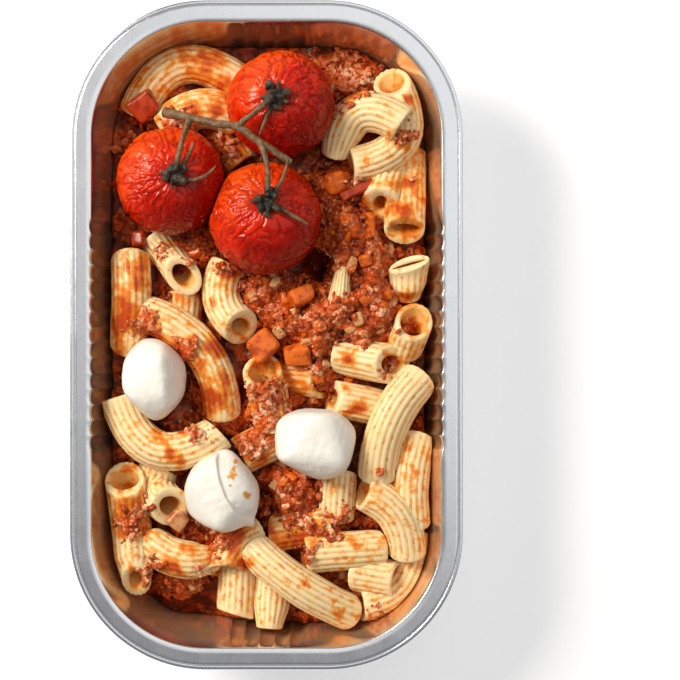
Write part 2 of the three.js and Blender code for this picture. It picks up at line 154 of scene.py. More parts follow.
PASTA = {
    "back_left_arc": Bend((-38.5, 66, -17), (-9.5, 75.5, -18), 9.5, 1, sauce=0.35),
    "behind_stem": Bend((-29, 61.5, -13.5), (-9.5, 64, -14.5), 4, 1.5, sauce=0.35),
    "between_tomatoes": Bend((-15, 60, -21), (-7.5, 50, -15), sauce=0.6),
    "left_upright": Bend((-40.7, 22.5, -13.5), (-41.2, -3, -15.5), 0.8, 2.5, sauce=0.48),
    "open_end_left": Bend(
        (-34, 29, -19), (-24.6, 17.3, -7.5), 0, -3.5,
        (SHUT, Cut(0.35, 0, (2.6, 3.7))), 0.86, 1.08, 0.1,
    ),
    "under_open_end": Bend((-25, 12, -19), (-26, -1, -20), sauce=0.3),
    "centre_left_open": Bend(
        (-11.5, 20.5, -12), (-7.6, 2.2, -8), -4, -2, (SHUT, Cut(0.35, 0, (2.5, 3.7))), sauce=0.25
    ),
    "long_arc_left": Bend(
        (-35, 6, -12.5), (-13.5, -23, -14), 6.3, 2.5, (Cut(-0.4), SHUT), sauce=0.28
    ),
    "big_bottom_arc": Bend(
        (-44, -18.3, -11.5), (-14.5, -28.8, -8.5), -10.6, 1, (Cut(0.1), Cut(-0.2, 0.2)), sauce=0.12
    ),
    "left_bottom_upright": Bend(
        (-41.8, -42.3, -8.5), (-38.6, -72.2, -9.5), 0, -3.5,
        (Cut(0.5, 0, (4.2, 3.2)), Cut(0.65, 0, (1.9, 3.0), (0.74, 0.86))), sauce=0.3,
    ),
    "small_open_centre": Bend(
        (-32.2, -39.5, -16), (-28.2, -50.3, -8.5), -3, -2.5,
        (SHUT, Cut(0.3, 0, (2.9, 3.5))), sauce=0.12,
    ),
    "centre_tube": Bend((-8.5, -36, -14), (6, -28.5, -14), 0, 0, (Cut(0.2), SHUT), sauce=0.35),
    "lower_left_arch": Bend(
        (-34.5, -61.5, -12.5), (-15.5, -65.5, -11), -2.5, 1.5,
        (Cut(-0.4), Cut(-0.3, 0, (3, 1.2), (0.72, 0.6))), sauce=0.3,
    ),
    "lower_centre": Bend(
        (-4, -58.5, -15), (-12.8, -69.5, -10.5), -2, 0, (SHUT, Cut(0.15, 0.2)), sauce=0.3
    ),
    "bottom_short": Bend(
        (-9, -69, -15.5), (-9.6, -82.6, -14.5), 0, 0, (SHUT, Cut(0, -0.25)), sauce=0.2
    ),
    "bottom_pale": Bend(
        (1.5, -72, -16), (0.4, -86.6, -13.5), 0, 0,
        (SHUT, Cut(-0.1, 0, (3, 3.5), (0.72, 1))), sauce=0.1,
    ),
    "big_diagonal": Bend(
        (-3.2, -63.5, -10.5), (23.5, -81.5, -12.5), -1.2, 3.8, (Cut(-0.35), Cut(-0.35)), sauce=0.15
    ),
    "filled_near_middle": Bend((10.5, -64.5, -12), (33, -63, -12), 0, 1, (OPEN, SHUT), sauce=0.25),
    "sauced_low": Bend((2, -58.5, -15), (18, -56, -13), high=0.85, sauce=0.55),
    "under_mozzarella": Bend((21, -41, -14), (20, -54, -14), sauce=0.25),
    "sauced_upright": Bend(
        (-1.5, -10.5, -7.5), (2.2, -27, -12), 0, -1, (Cut(0.45), SHUT), sauce=0.45
    ),
    "dark_ring": Bend((5, -12, -17), (16.5, -13, -13), 0, 0, (SHUT, OPEN), sauce=0.55),
    "right_centre_low": Bend(
        (19, -18.5, -11.5), (33, -21.5, -15), 0, 1, (Cut(0.4, 0, (2.6, 3.2)), SHUT), sauce=0.25
    ),
    "open_right": Bend(
        (21.5, -5.5, -13.5), (36.8, -8.8, -8), 0, -1,
        (Cut(-0.4), Cut(0.45, 0, (2.7, 3.7))), sauce=0.12,
    ),
    "right_big_diagonal": Bend((44.5, -13, -9.5), (32.5, -41, -11), -3, 2, sauce=0.05),
    "pinched_right": Bend(
        (41.3, 20.6, -5.5), (41.2, 11.5, -15.5), 0, -2,
        (Cut(0.55, -0.6, (4.6, 0.3), (1.05, 0.36)), Cut(-0.3, 0, (3, 3), (0.7, 0.8))), sauce=0.1,
    ),
    "flat_open_right": Bend(
        (40.2, 30.5, -6.5), (41, 54, -16), 0, -1, (Cut(0.5, 0, (4.6, 1.9)), SHUT), 1.08, 0.8, 0.35
    ),
    "dark_bore_right": Bend(
        (33, 38, -8.5), (36.5, 50, -15), 0, 0, (Cut(0.4, 0, (2.1, 3.1)), SHUT), sauce=0.15
    ),
    "corner_hook": Bend(
        (24.5, 49.8, -11), (36.3, 74, -9.5), -10, 1,
        (Cut(0.3, 0, (3.8, 3.4)), Cut(0.95, 0, (3.7, 3.3))), sauce=0.1,
    ),
    "top_right_bridge": Bend(
        (20, 53.7, -12), (39.7, 61, -4), 8, 0,
        (Cut(-0.3, 0, (3, 3), (0.75, 0.9)), Cut(-0.1)), sauce=0.06,
    ),
    "back_right": Bend((16, 74, -22.5), (33, 73, -22), 2, sauce=0.85),
    "filled_right": Bend((43, 4, -6.5), (40.2, -3.5, -13), 0, 0, (Cut(0.5), SHUT), sauce=0.35),
    "half_buried": Bend(
        (22, 17.5, -9.5), (20.8, 6, -11.5), 0, 1.5,
        (Cut(-0.4, 0, (2, 2), (0.7, 0.7)), SHUT), 0.62, 1, 0.1,
    ),
    "right_wall": Bend((44.5, -31, -13), (42.5, -56, -11), -1.5, 1, sauce=0.25),
    "right_middle": Bend((28, -46, -9.5), (41, -64, -10.5), 4, 1, (OPEN, SHUT), sauce=0.2),
    "right_corner_arc": Bend((27, -79, -14), (43, -60, -17), -6, 0, (Cut(0.2), SHUT), sauce=0.25),
    "right_lower": Bend((26, -70, -13), (38, -72, -11), 0, 0, (SHUT, Cut(0.2)), sauce=0.2),
}

# Where sauce has splashed on macaroni: x, y, spread and strength.
STAINS = [
    (-37.6, 19.2, 2, 0.5), (-41.7, 9.5, 2, 0.5), (-41.7, 4.5, 3.2, 0.8), (-36.5, 16, 1.5, 0.4),
    (-29, 26.5, 2, 0.4), (-10.9, 18.6, 4, 0.8), (-16.5, 9.8, 1.6, 0.5), (-6, 14, 2.5, 0.5),
    (-34.1, 4.5, 3, 0.8), (-32, -1, 2.5, 0.7), (-24.4, -4.3, 3.5, 0.7), (-16, -4, 3, 0.7),
    (-19, -9, 4, 0.4), (-12.5, -13, 3, 0.5), (-37.3, -26.4, 1.2, 0.5), (-27.8, -34.5, 2.4, 0.7),
    (-26, -37, 2.6, 0.7), (-31.6, -29.2, 2.5, 0.7), (-24.4, -28.3, 3, 0.8), (-15.8, -19, 5, 0.8),
    (-38.5, -48.3, 3, 0.7), (-40.5, -54, 4.5, 0.9), (-28.3, -67.4, 3, 0.6),
    (-21.3, -64.6, 2.2, 0.4),
    (-7.2, -66, 3, 0.7), (-10.7, -60, 4, 0.8), (21, -80.2, 3.5, 0.3), (11, -71.7, 1.6, 0.6),
    (40, 36.2, 3, 0.8), (38, 44, 3.5, 0.5), (27, 38, 3, 0.8), (31.2, -31.4, 1, 0.5),
    (23.3, -6, 3, 0.7), (23.9, 70.3, 3, 0.7), (32, 63.6, 1.2, 0.6), (36.5, 58.6, 1.6, 0.6),
    (39.8, 57, 3.2, 0.9), (42, 68.5, 2.4, 0.6), (28.3, 50, 1.5, 0.5), (-19, 80, 4, 0.5),
    (-31, 73, 1.5, 0.5), (-13, 73, 2.5, 0.5), (-21, 63.5, 2, 0.6), (-14.5, 66, 2, 0.6),
    (-4, -33, 4.5, 0.8), (41, 11, 2.5, 0.5), (26.2, -21.2, 2.6, 0.7), (36.4, -8.8, 2, 0.8),
    (1, -20, 4, 0.6), (21, 6, 3, 0.5), (12, -58, 5, 0.5),
]


# ---- points and pieces -----------------------------------------------------------------------


def read_points(piece: bpy.types.Object) -> np.ndarray:
    """Reads a piece's vertices.

    Args:
        piece: a mesh object at the origin.

    Returns:
        One row of x, y, z for each vertex, in millimetres from the rim.
    """
    flat = np.empty(len(piece.data.vertices) * 3, np.float32)
    piece.data.vertices.foreach_get("co", flat)
    return flat.reshape(-1, 3).astype(float) / MM - FROM_ORIGIN


def write_points(piece: bpy.types.Object, points: np.ndarray) -> None:
    """Moves a piece's vertices.

    Args:
        piece: a mesh object at the origin.
        points: one row for each vertex, in millimetres from the rim.
    """
    moved = (points + FROM_ORIGIN) * MM
    piece.data.vertices.foreach_set("co", moved.astype(np.float32).ravel())
    piece.data.update()


def metres(place: Sequence[float]) -> Vector:
    """Turns a place in the food into Blender's own metres."""
    return Vector((place[0], place[1], place[2] + RIM)) * MM


def deselect() -> None:
    """Deselects everything, because an operator acts on all that is selected."""
    bpy.ops.object.select_all(action="DESELECT")


def activate(piece: bpy.types.Object) -> None:
    """Selects one piece alone and makes it the active one.

    Args:
        piece: the piece.
    """
    deselect()
    piece.select_set(True)
    bpy.context.view_layer.objects.active = piece


def new_piece(name: str) -> bpy.types.Object:
    """Names the primitive that was just added, and puts its place into its mesh.

    Args:
        name: its new name.

    Returns:
        The piece.
    """
    piece = bpy.context.object
    piece.name = piece.data.name = name
    bpy.ops.object.transform_apply(location=True, rotation=True, scale=True)
    return piece


def edit_vertices(piece: bpy.types.Object, chosen: np.ndarray) -> None:
    """Enters edit mode with some vertices selected.

    Args:
        piece: the mesh object to edit.
        chosen: one truth value for each vertex.
    """
    activate(piece)
    mesh = piece.data
    mesh.polygons.foreach_set("select", np.zeros(len(mesh.polygons), bool))
    mesh.edges.foreach_set("select", np.zeros(len(mesh.edges), bool))
    mesh.vertices.foreach_set("select", np.asarray(chosen, bool))
    bpy.context.tool_settings.mesh_select_mode = (True, False, False)
    bpy.ops.object.mode_set(mode="EDIT")


def leave_edit_mode() -> None:
    """Goes back to object mode."""
    bpy.ops.object.mode_set(mode="OBJECT")


def apply_modifier(piece: bpy.types.Object, kind: str, **settings: object) -> None:
    """Adds a modifier to a piece and applies it.

    Args:
        piece: the object to change.
        kind: the modifier's type, such as "SOLIDIFY".
        **settings: the modifier's own settings.
    """
    activate(piece)
    modifier = piece.modifiers.new(kind.title(), kind)
    for key, value in settings.items():
        setattr(modifier, key, value)
    bpy.ops.object.modifier_apply(modifier=modifier.name)


def joined(pieces: Sequence[bpy.types.Object], name: str) -> bpy.types.Object:
    """Joins pieces into one.

    Args:
        pieces: one or more pieces.
        name: the new name.

    Returns:
        The whole.
    """
    deselect()
    for piece in pieces:
        piece.select_set(True)
    bpy.context.view_layer.objects.active = pieces[0]
    if len(pieces) > 1:
        bpy.ops.object.join()
    whole = bpy.context.object
    whole.name = whole.data.name = name
    return whole


def smooth(piece: bpy.types.Object, degrees: float | None = None) -> None:
    """Shades a piece smooth.

    Args:
        piece: the piece.
        degrees: edges sharper than this stay crisp, where it is given.
    """
    activate(piece)
    if degrees is None:
        bpy.ops.object.shade_smooth()
    else:
        bpy.ops.object.shade_smooth_by_angle(angle=math.radians(degrees))


def store(piece: bpy.types.Object, name: str, values: np.ndarray | float) -> None:
    """Stores a number for each vertex, which a material can read.

    Args:
        piece: the mesh object.
        name: the attribute's name.
        values: one number for each vertex, or one for all.
    """
    mesh = piece.data
    attribute = mesh.attributes.get(name) or mesh.attributes.new(name, "FLOAT", "POINT")
    flat = np.broadcast_to(np.asarray(values, np.float32), (len(mesh.vertices),))
    attribute.data.foreach_set("value", np.ascontiguousarray(flat))


def finish_piece(
    piece: bpy.types.Object, material: bpy.types.Material, slot: str, *nodes: str
) -> None:
    """Gives a piece its material and its place in the frame.

    Args:
        piece: the finished object.
        material: its finish.
        slot: the record's material slot; not used.
        *nodes: the solids that it stands for.
    """
    piece.data.materials.clear()
    piece.data.materials.append(material)
    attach(piece, BODY)
    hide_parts(*nodes)
    faces = sum(len(polygon.vertices) - 2 for polygon in piece.data.polygons)
    LOG.info("%s: %d triangles", piece.name, faces)


def noise_at(points: np.ndarray, size: float, octaves: int = 2, seed: float = 0.0) -> np.ndarray:
    """Reads smooth noise, about -1 to 1, at many places.

    Args:
        points: one row for each place.
        size: how wide the largest lumps are, in the points' unit.
        octaves: how many finer layers are added.
        seed: moves the pattern.

    Returns:
        One value for each place.
    """
    return np.array([noise.fractal(Vector(p), 1.0, 2.0, octaves) for p in points / size + seed])


def crumbs_at(points: np.ndarray, size: float, seed: float = 0.0) -> np.ndarray:
    """Reads a pattern of packed crumbs: 1 at each crumb's middle, and near 0 between them."""
    return np.array([1 - noise.voronoi(Vector(p))[0][0] for p in points / size + seed])


def smoothstep(low: float, high: float, values: np.ndarray | float) -> np.ndarray:
    """Rises softly from 0 at low to 1 at high."""
    t = np.clip((values - low) / (high - low), 0, 1)
    return t * t * (3 - 2 * t)


def spots_at(points: np.ndarray, spots: Sequence[Sequence[float]]) -> np.ndarray:
    """How strongly each place is covered by round spots.

    Args:
        points: one row for each place.
        spots: x, y, spread and perhaps strength of each spot.

    Returns:
        One value for each place, 1 at the middle of a spot of full strength.
    """
    cover = np.zeros(len(points))
    for x, y, spread, *strength in spots:
        near = np.exp(-((points[:, 0] - x) ** 2 + (points[:, 1] - y) ** 2) / spread**2)
        cover = np.maximum(cover, near * (strength[0] if strength else 1.0))
    return cover


# ---- finishes --------------------------------------------------------------------------------


def linear(hex_colour: str) -> tuple[float, float, float, float]:
    """Turns an sRGB hex colour into the linear colour that a socket holds.

    Args:
        hex_colour: such as "#f2d39b".

    Returns:
        Red, green, blue and an alpha of 1.
    """
    parts = [int(hex_colour[i : i + 2], 16) / 255 for i in (1, 3, 5)]
    red, green, blue = (c / 12.92 if c <= 0.04045 else ((c + 0.055) / 1.055) ** 2.4 for c in parts)
    return (red, green, blue, 1.0)


def per_mm(size: float) -> float:
    """The texture scale, in cycles a metre, of a pattern whose marks are some millimetres wide."""
    return 1 / (size * MM)


def add_node(
    material: bpy.types.Material,
    kind: str,
    inputs: dict[str | int, object] | None = None,
    output: str | int = 0,
    **settings: object,
) -> Socket | None:
    """Adds a shader node with its settings and links.

    Args:
        material: the material that it joins.
        kind: the node's type without "ShaderNode", such as "TexNoise".
        inputs: for each input, the socket that feeds it, a number, a vector or a hex colour.
        output: which output is wanted.
        **settings: the node's own properties. stops holds a colour ramp's places with a hex
            colour or a grey value each.

    Returns:
        The wanted output, or None where the node has no output.
    """
    node = material.node_tree.nodes.new("ShaderNode" + kind)
    stops = settings.pop("stops", [])
    for key, value in settings.items():
        setattr(node, key, value)
    for index, (at, colour) in enumerate(stops):
        elements = node.color_ramp.elements
        element = elements[index] if index < 2 else elements.new(1.0)
        element.position = at
        element.color = linear(colour) if isinstance(colour, str) else (colour,) * 3 + (1,)
    for key, value in (inputs or {}).items():
        if isinstance(value, Socket):
            material.node_tree.links.new(value, node.inputs[key])
        else:
            node.inputs[key].default_value = linear(value) if isinstance(value, str) else value
    return node.outputs[output] if len(node.outputs) else None


class Finish:
    """What every finish shares: one principled shader, over patterns on Object coordinates."""

    name: str

    def surface(self, node: Adder, place: Socket) -> dict[str, object]:
        """Adds the finish's patterns.

        Args:
            node: add_node for this material.
            place: the Object coordinates.

        Returns:
            The shader's inputs.
        """
        raise NotImplementedError

    def material(self) -> bpy.types.Material:
        """Builds the material.

        Returns:
            The material, under the real one's name.
        """
        made = bpy.data.materials.new(self.name)
        made.use_nodes = True
        made.node_tree.nodes.clear()
        node = partial(add_node, made)
        place = node("TexCoord", output="Object")
        shader = node("BsdfPrincipled", self.surface(node, place))
        node("OutputMaterial", {"Surface": shader})
        return made


@dataclass(frozen=True)
class FoilFinish(Finish):
    """Aluminium, rolled to thin sheet and stamped into a tray.

    Rolling leaves it bright with a soft sheen and faint lengthwise streaks, so that the flange
    is a cloudy mirror of the lights and the walls are one of the food.
    """

    name: str = "rolled_aluminium"
    metal: str = "#e6e7ea"
    oiled: str = "#f2bc80"  # a film of sauce oil warms the walls near the food
    roll_mark: float = 0.5  # real marks are finer than 0.1, too fine to show
    cloud: float = 9.0

    def surface(self, node: Adder, place: Socket) -> dict[str, object]:
        """Adds the finish's patterns.

        Args:
            node: add_node for this material.
            place: the Object coordinates.

        Returns:
            The shader's inputs.
        """
        stretched = node("Mapping", {"Vector": place, "Scale": (1, 0.02, 1)})
        streaks = node(
            "TexNoise", {"Vector": stretched, "Scale": per_mm(self.roll_mark), "Detail": 2}
        )
        clouds = node(
            "TexNoise",
            {"Vector": place, "Scale": per_mm(self.cloud), "Detail": 4, "Roughness": 0.6},
        )
        height = node("SeparateXYZ", {0: place}, "Z")
        below = node(
            "MapRange",
            {0: height, "From Min": (RIM - 0.5) * MM, "From Max": (RIM - 7) * MM, "To Max": 1.9},
        )
        within = node("Attribute", output="Fac", attribute_name="within")
        below = node("Math", {0: below, 1: within}, operation="MULTIPLY")
        oiled = node("Math", {0: below, 1: clouds}, operation="MULTIPLY", use_clamp=True)
        rough = node("Math", {0: streaks, 1: 0.08, 2: 0.14}, operation="MULTIPLY_ADD")
        rough = node("Math", {0: clouds, 1: 0.16, 2: rough}, operation="MULTIPLY_ADD")
        rough = node("Math", {0: oiled, 1: -0.1, 2: rough}, operation="MULTIPLY_ADD")
        relief = node("Math", {0: clouds, 1: 4.0, 2: streaks}, operation="MULTIPLY_ADD")
        return {
            # A thick film hides the metal under it and is lit like any other sauce.
            "Metallic": node("Math", {0: oiled, 1: -0.3, 2: 1.0}, operation="MULTIPLY_ADD"),
            "Base Color": node(
                "Mix", {0: oiled, 6: self.metal, 7: self.oiled}, 2, data_type="RGBA"
            ),
            "Roughness": rough,
            "Normal": node("Bump", {"Strength": 0.5, "Distance": 0.012 * MM, "Height": relief}),
        }


@dataclass(frozen=True)
class PastaFinish(Finish):
    """Durum wheat pasta, extruded through a ridged die and boiled.

    Boiling leaves it pale cream and satin, slightly clear at the edges. Amber oil stays in the
    grooves in short dashes, and red sauce where it has splashed or where a piece lies in it.
    """

    name: str = "boiled_durum_pasta"
    dough: str = "#fbd694"
    crest: str = "#ffe9c0"
    # The grooves' colour is painted shade in them.
    groove: str = "#e6ae5e"
    amber: str = "#e68a1c"
    bore: str = "#f0ac48"
    thin_oil: str = "#f9bf62"
    oil: str = "#ea8620"
    sauce: str = "#c2430e"
    dash: float = 2.2
    patch: float = 4.6

    def surface(self, node: Adder, place: Socket) -> dict[str, object]:
        """Adds the finish's patterns.

        Args:
            node: add_node for this material.
            place: the Object coordinates.

        Returns:
            The shader's inputs.
        """
        groove, sauced, inside = (
            node("Attribute", output="Fac", attribute_name=name)
            for name in ("groove", "sauced", "inside")
        )
        fine = node("TexNoise", {"Vector": place, "Scale": per_mm(2.5), "Detail": 4})
        dashes = node(
            "TexNoise", {"Vector": place, "Scale": per_mm(self.dash), "Detail": 2, "Roughness": 0.5}
        )
        patches = node(
            "TexNoise",
            {"Vector": place, "Scale": per_mm(self.patch), "Detail": 3, "Roughness": 0.52},
        )
        colour = node("Mix", {0: fine, 6: self.dough, 7: self.crest}, 2, data_type="RGBA")
        # Painted shade: the grooves are painted darker and warmer.
        shade = node("Math", {0: groove, 1: 0.6}, operation="MULTIPLY")
        colour = node("Mix", {0: shade, 6: colour, 7: self.groove}, 2, data_type="RGBA")
        # Light that has come through the wall makes the hole golden.
        hole = node("MapRange", {0: inside, "From Min": 0.85, "To Max": 0.72})
        colour = node("Mix", {0: hole, 6: colour, 7: self.bore}, 2, data_type="RGBA")
        lying = node("Math", {0: sauced, 1: 0.75, 2: -0.5}, operation="MULTIPLY_ADD")
        # Dashes: only in the grooves, and more of them on a piece that lies in sauce.
        dashed = node("Math", {0: groove, 1: 0.15, 2: dashes}, operation="MULTIPLY_ADD")
        dashed = node("Math", {0: sauced, 1: 0.2, 2: dashed}, operation="MULTIPLY_ADD")
        dashed = node("ValToRGB", {0: dashed}, stops=[(0.62, 0.0), (0.8, 0.9)])
        colour = node("Mix", {0: dashed, 6: colour, 7: self.amber}, 2, data_type="RGBA")
        wet = node("Math", {0: patches, 1: 1.5, 2: lying}, operation="MULTIPLY_ADD")
        wet = node("Math", {0: groove, 1: 0.04, 2: wet}, operation="MULTIPLY_ADD")
        wet = node("Math", {0: inside, 1: 0.1, 2: wet}, operation="MULTIPLY_ADD")
        covered = node("ValToRGB", {0: wet}, stops=[(0.5, 0.0), (0.66, 0.95)])
        stained = node("ValToRGB", {0: wet}, stops=[(0.66, 0.0), (0.86, 1.0)])
        # A splash is red where it is thick and thins out to clear golden oil.
        tints = [(0.54, self.thin_oil), (0.7, self.oil), (0.9, self.sauce)]
        splash = node("ValToRGB", {0: wet}, stops=tints)
        colour = node("Mix", {0: covered, 6: colour, 7: splash}, 2, data_type="RGBA")
        relief = node("Math", {0: stained, 1: 0.6, 2: fine}, operation="MULTIPLY_ADD")
        return {
            "Base Color": colour,
            "IOR": 1.45,
            "Subsurface Weight": 0.35,
            "Subsurface Radius": (1.0, 0.55, 0.22),
            "Subsurface Scale": 1.4 * MM,
            # Oil on the surface warms its sheen.
            "Specular Tint": linear("#ffe6c4"),
            "Coat Weight": 0.12,
            "Coat Roughness": 0.2,
            "Roughness": node("Math", {0: stained, 1: -0.14, 2: 0.4}, operation="MULTIPLY_ADD"),
            "Normal": node("Bump", {"Strength": 0.5, "Distance": 0.12 * MM, "Height": relief}),
        }


@dataclass(frozen=True)
class MinceFinish(Finish):
    """Beef mince, fried in crumbs and simmered in sauce.

    Frying gives each crumb its own brown or pink, and orange fat films them all, so that they
    glint. Their tone also holds painted light and shade: paler where crumbs lie high, darker
    deep in the sauce and in the valleys between granules.
    """

    name: str = "fried_mince"
    browns: tuple[str, ...] = ("#3a0d03", "#80240a", "#ae4014", "#cb713a", "#f2c39c")
    fat: str = "#d6540e"

    def surface(self, node: Adder, place: Socket) -> dict[str, object]:
        """Adds the finish's patterns.

        Args:
            node: add_node for this material.
            place: the Object coordinates.

        Returns:
            The shader's inputs.
        """
        fine = node("TexNoise", {"Vector": place, "Scale": per_mm(0.7), "Detail": 3})
        films = node(
            "TexNoise", {"Vector": place, "Scale": per_mm(4.5), "Detail": 4, "Roughness": 0.65}
        )
        tone = node("Attribute", output="Fac", attribute_name="tone")
        tone = node("Math", {0: fine, 1: 0.7, 2: tone}, operation="MULTIPLY_ADD")
        tone = node("Math", {0: tone, 1: -0.35}, operation="ADD")
        last = len(self.browns) - 1
        meat = node("ValToRGB", {0: tone}, stops=[(i / last, c) for i, c in enumerate(self.browns)])
        fat = node("ValToRGB", {0: films}, stops=[(0.44, 0.0), (0.62, 0.8)])
        return {
            "Base Color": node("Mix", {0: fat, 6: meat, 7: self.fat}, 2, data_type="RGBA"),
            "IOR": 1.47,
            "Specular Tint": linear("#ffdcc0"),
            "Coat Weight": 0.2,
            "Coat Roughness": 0.1,
            "Roughness": node("MapRange", {0: films, "To Min": 0.2, "To Max": 0.5}),
            "Normal": node("Bump", {"Strength": 0.9, "Distance": 0.3 * MM, "Height": fine}),
        }


@dataclass(frozen=True)
class SauceFinish(Finish):
    """Tomato sauce, simmered down with fine crumbs of mince in it.

    It is dark and wet where it lies deep, and brown and crumbly on the piles of mince, with
    orange oil that has come to the top. The low places between its crumbs are painted the deep
    colour, as painted shade.
    """

    name: str = "simmered_tomato_sauce"
    deep: str = "#3c0d04"
    bright: str = "#94280a"
    crumb: str = "#b85020"
    oil: str = "#d45a12"

    def surface(self, node: Adder, place: Socket) -> dict[str, object]:
        """Adds the finish's patterns.

        Args:
            node: add_node for this material.
            place: the Object coordinates.

        Returns:
            The shader's inputs.
        """
        pile, hollow_shade = (
            node("Attribute", output="Fac", attribute_name=name) for name in ("pile", "hollow_shade")
        )
        body = node(
            "TexNoise", {"Vector": place, "Scale": per_mm(3), "Detail": 5, "Roughness": 0.65}
        )
        fine = node(
            "TexNoise", {"Vector": place, "Scale": per_mm(0.8), "Detail": 4, "Roughness": 0.6}
        )
        films = node(
            "TexNoise", {"Vector": place, "Scale": per_mm(5.5), "Detail": 4, "Roughness": 0.6}
        )
        deep = node("ValToRGB", {0: body}, stops=[(0.35, self.deep), (0.68, self.bright)])
        crumb = node(
            "ValToRGB", {0: fine}, stops=[(0.3, "#7c2a12"), (0.5, self.crumb), (0.72, "#d39a6c")]
        )
        colour = node("Mix", {0: pile, 6: deep, 7: crumb}, 2, data_type="RGBA")
        # Painted shade: the low places between crumbs take the deep colour.
        colour = node("Mix", {0: hollow_shade, 6: colour, 7: self.deep}, 2, data_type="RGBA")
        oily = node("ValToRGB", {0: films}, stops=[(0.5, 0.0), (0.66, 0.8)])
        return {
            "Base Color": node("Mix", {0: oily, 6: colour, 7: self.oil}, 2, data_type="RGBA"),
            "IOR": 1.45,
            "Specular Tint": linear("#ffcfae"),
            "Coat Weight": 0.15,
            "Coat Roughness": 0.1,
            "Roughness": node("MapRange", {0: body, "To Min": 0.2, "To Max": 0.6}),
            "Normal": node("Bump", {"Strength": 0.8, "Distance": 0.3 * MM, "Height": fine}),
        }


@dataclass(frozen=True)
class TomatoFinish(Finish):
    """The skin of a roasted tomato.

    Roasting has loosened it, so it is thin and wet with tight wrinkles that break up the
    highlights. Its side towards the window light is painted orange and its far side dark red, as
    painted light and shade, and its creases are painted darker, as painted shade.
    """

    name: str = "roasted_tomato_skin"
    ripe: str = "#dc2405"
    dark: str = "#9a0a02"
    # The painted colour of the side towards the window light.
    light: str = "#f65610"

    def surface(self, node: Adder, place: Socket) -> dict[str, object]:
        """Adds the finish's patterns.

        Args:
            node: add_node for this material.
            place: the Object coordinates.

        Returns:
            The shader's inputs.
        """
        crease, painted_lit_side = (
            node("Attribute", output="Fac", attribute_name=name) for name in ("crease", "painted_lit_side")
        )
        clouds = node("TexNoise", {"Vector": place, "Scale": per_mm(6), "Detail": 4})
        fine = node("TexNoise", {"Vector": place, "Scale": per_mm(0.9), "Detail": 3})
        # Painted light and shade: the tone is paler and more orange on the side towards the window
        # light.
        tone = node("Math", {0: clouds, 1: 0.7, 2: painted_lit_side}, operation="MULTIPLY_ADD")
        colour = node(
            "ValToRGB", {0: tone}, stops=[(0.25, self.dark), (0.6, self.ripe), (1.0, self.light)]
        )
        # Painted shade: the creases are painted darker red.
        painted_crease_shade = node("Math", {0: crease, 1: 0.75}, operation="MULTIPLY")
        return {
            "Base Color": node("Mix", {0: painted_crease_shade, 6: colour, 7: self.dark}, 2, data_type="RGBA"),
            "IOR": 1.45,
            "Specular IOR Level": 0.5,
            "Specular Tint": linear("#ffd6c4"),  # the skin's own red shows through its gloss
            "Subsurface Weight": 0.12,
            "Subsurface Radius": (1.0, 0.12, 0.04),
            "Subsurface Scale": 2.0 * MM,
            "Roughness": node("MapRange", {0: clouds, "To Min": 0.08, "To Max": 0.3}),
            "Normal": node("Bump", {"Strength": 0.4, "Distance": 0.08 * MM, "Height": fine}),
        }


@dataclass(frozen=True)
class CurdFinish(Finish):
    """Mozzarella curd, stretched in hot whey and pulled into balls.

    It is dense and milk white, and light sinks into it, so its shadows stay soft and warm.
    """

    name: str = "mozzarella_curd"
    curd: str = "#faf6ee"
    shade: str = "#efe9da"
    stain: str = "#e29a3a"

    def surface(self, node: Adder, place: Socket) -> dict[str, object]:
        """Adds the finish's patterns.

        Args:
            node: add_node for this material.
            place: the Object coordinates.

        Returns:
            The shader's inputs.
        """
        clouds = node("TexNoise", {"Vector": place, "Scale": per_mm(6), "Detail": 3})
        fine = node("TexNoise", {"Vector": place, "Scale": per_mm(1.6), "Detail": 4})
        stain = node("Attribute", output="Fac", attribute_name="stain")
        colour = node("Mix", {0: clouds, 6: self.curd, 7: self.shade}, 2, data_type="RGBA")
        return {
            "Base Color": node("Mix", {0: stain, 6: colour, 7: self.stain}, 2, data_type="RGBA"),
            "IOR": 1.4,
            "Subsurface Weight": 0.3,
            "Subsurface Radius": (1.0, 0.85, 0.65),
            "Subsurface Scale": 2.0 * MM,
            "Coat Weight": 0.12,
            "Coat Roughness": 0.3,
            "Roughness": node("MapRange", {0: clouds, "To Min": 0.36, "To Max": 0.56}),
            "Normal": node("Bump", {"Strength": 0.4, "Distance": 0.1 * MM, "Height": fine}),
        }


@dataclass(frozen=True)
class VineFinish(Finish):
    """Tomato vine, dried and browned in the oven.

    Its bark is brown, paler along the ribs, and black where the calyxes have charred.
    """

    name: str = "dried_tomato_vine"
    bark: str = "#543c24"
    pale: str = "#8e6c46"
    char: str = "#1a140d"

    def surface(self, node: Adder, place: Socket) -> dict[str, object]:
        """Adds the finish's patterns.

        Args:
            node: add_node for this material.
            place: the Object coordinates.

        Returns:
            The shader's inputs.
        """
        spots = node(
            "TexNoise", {"Vector": place, "Scale": per_mm(1.6), "Detail": 4, "Roughness": 0.65}
        )
        fine = node("TexNoise", {"Vector": place, "Scale": per_mm(0.5), "Detail": 3})
        char = node("Attribute", output="Fac", attribute_name="char")
        bark = node("ValToRGB", {0: spots}, stops=[(0.35, self.bark), (0.68, self.pale)])
        return {
            "Base Color": node("Mix", {0: char, 6: bark, 7: self.char}, 2, data_type="RGBA"),
            "IOR": 1.45,
            "Roughness": node("MapRange", {0: spots, "To Min": 0.3, "To Max": 0.8}),
            "Normal": node("Bump", {"Strength": 0.8, "Distance": 0.15 * MM, "Height": fine}),
        }


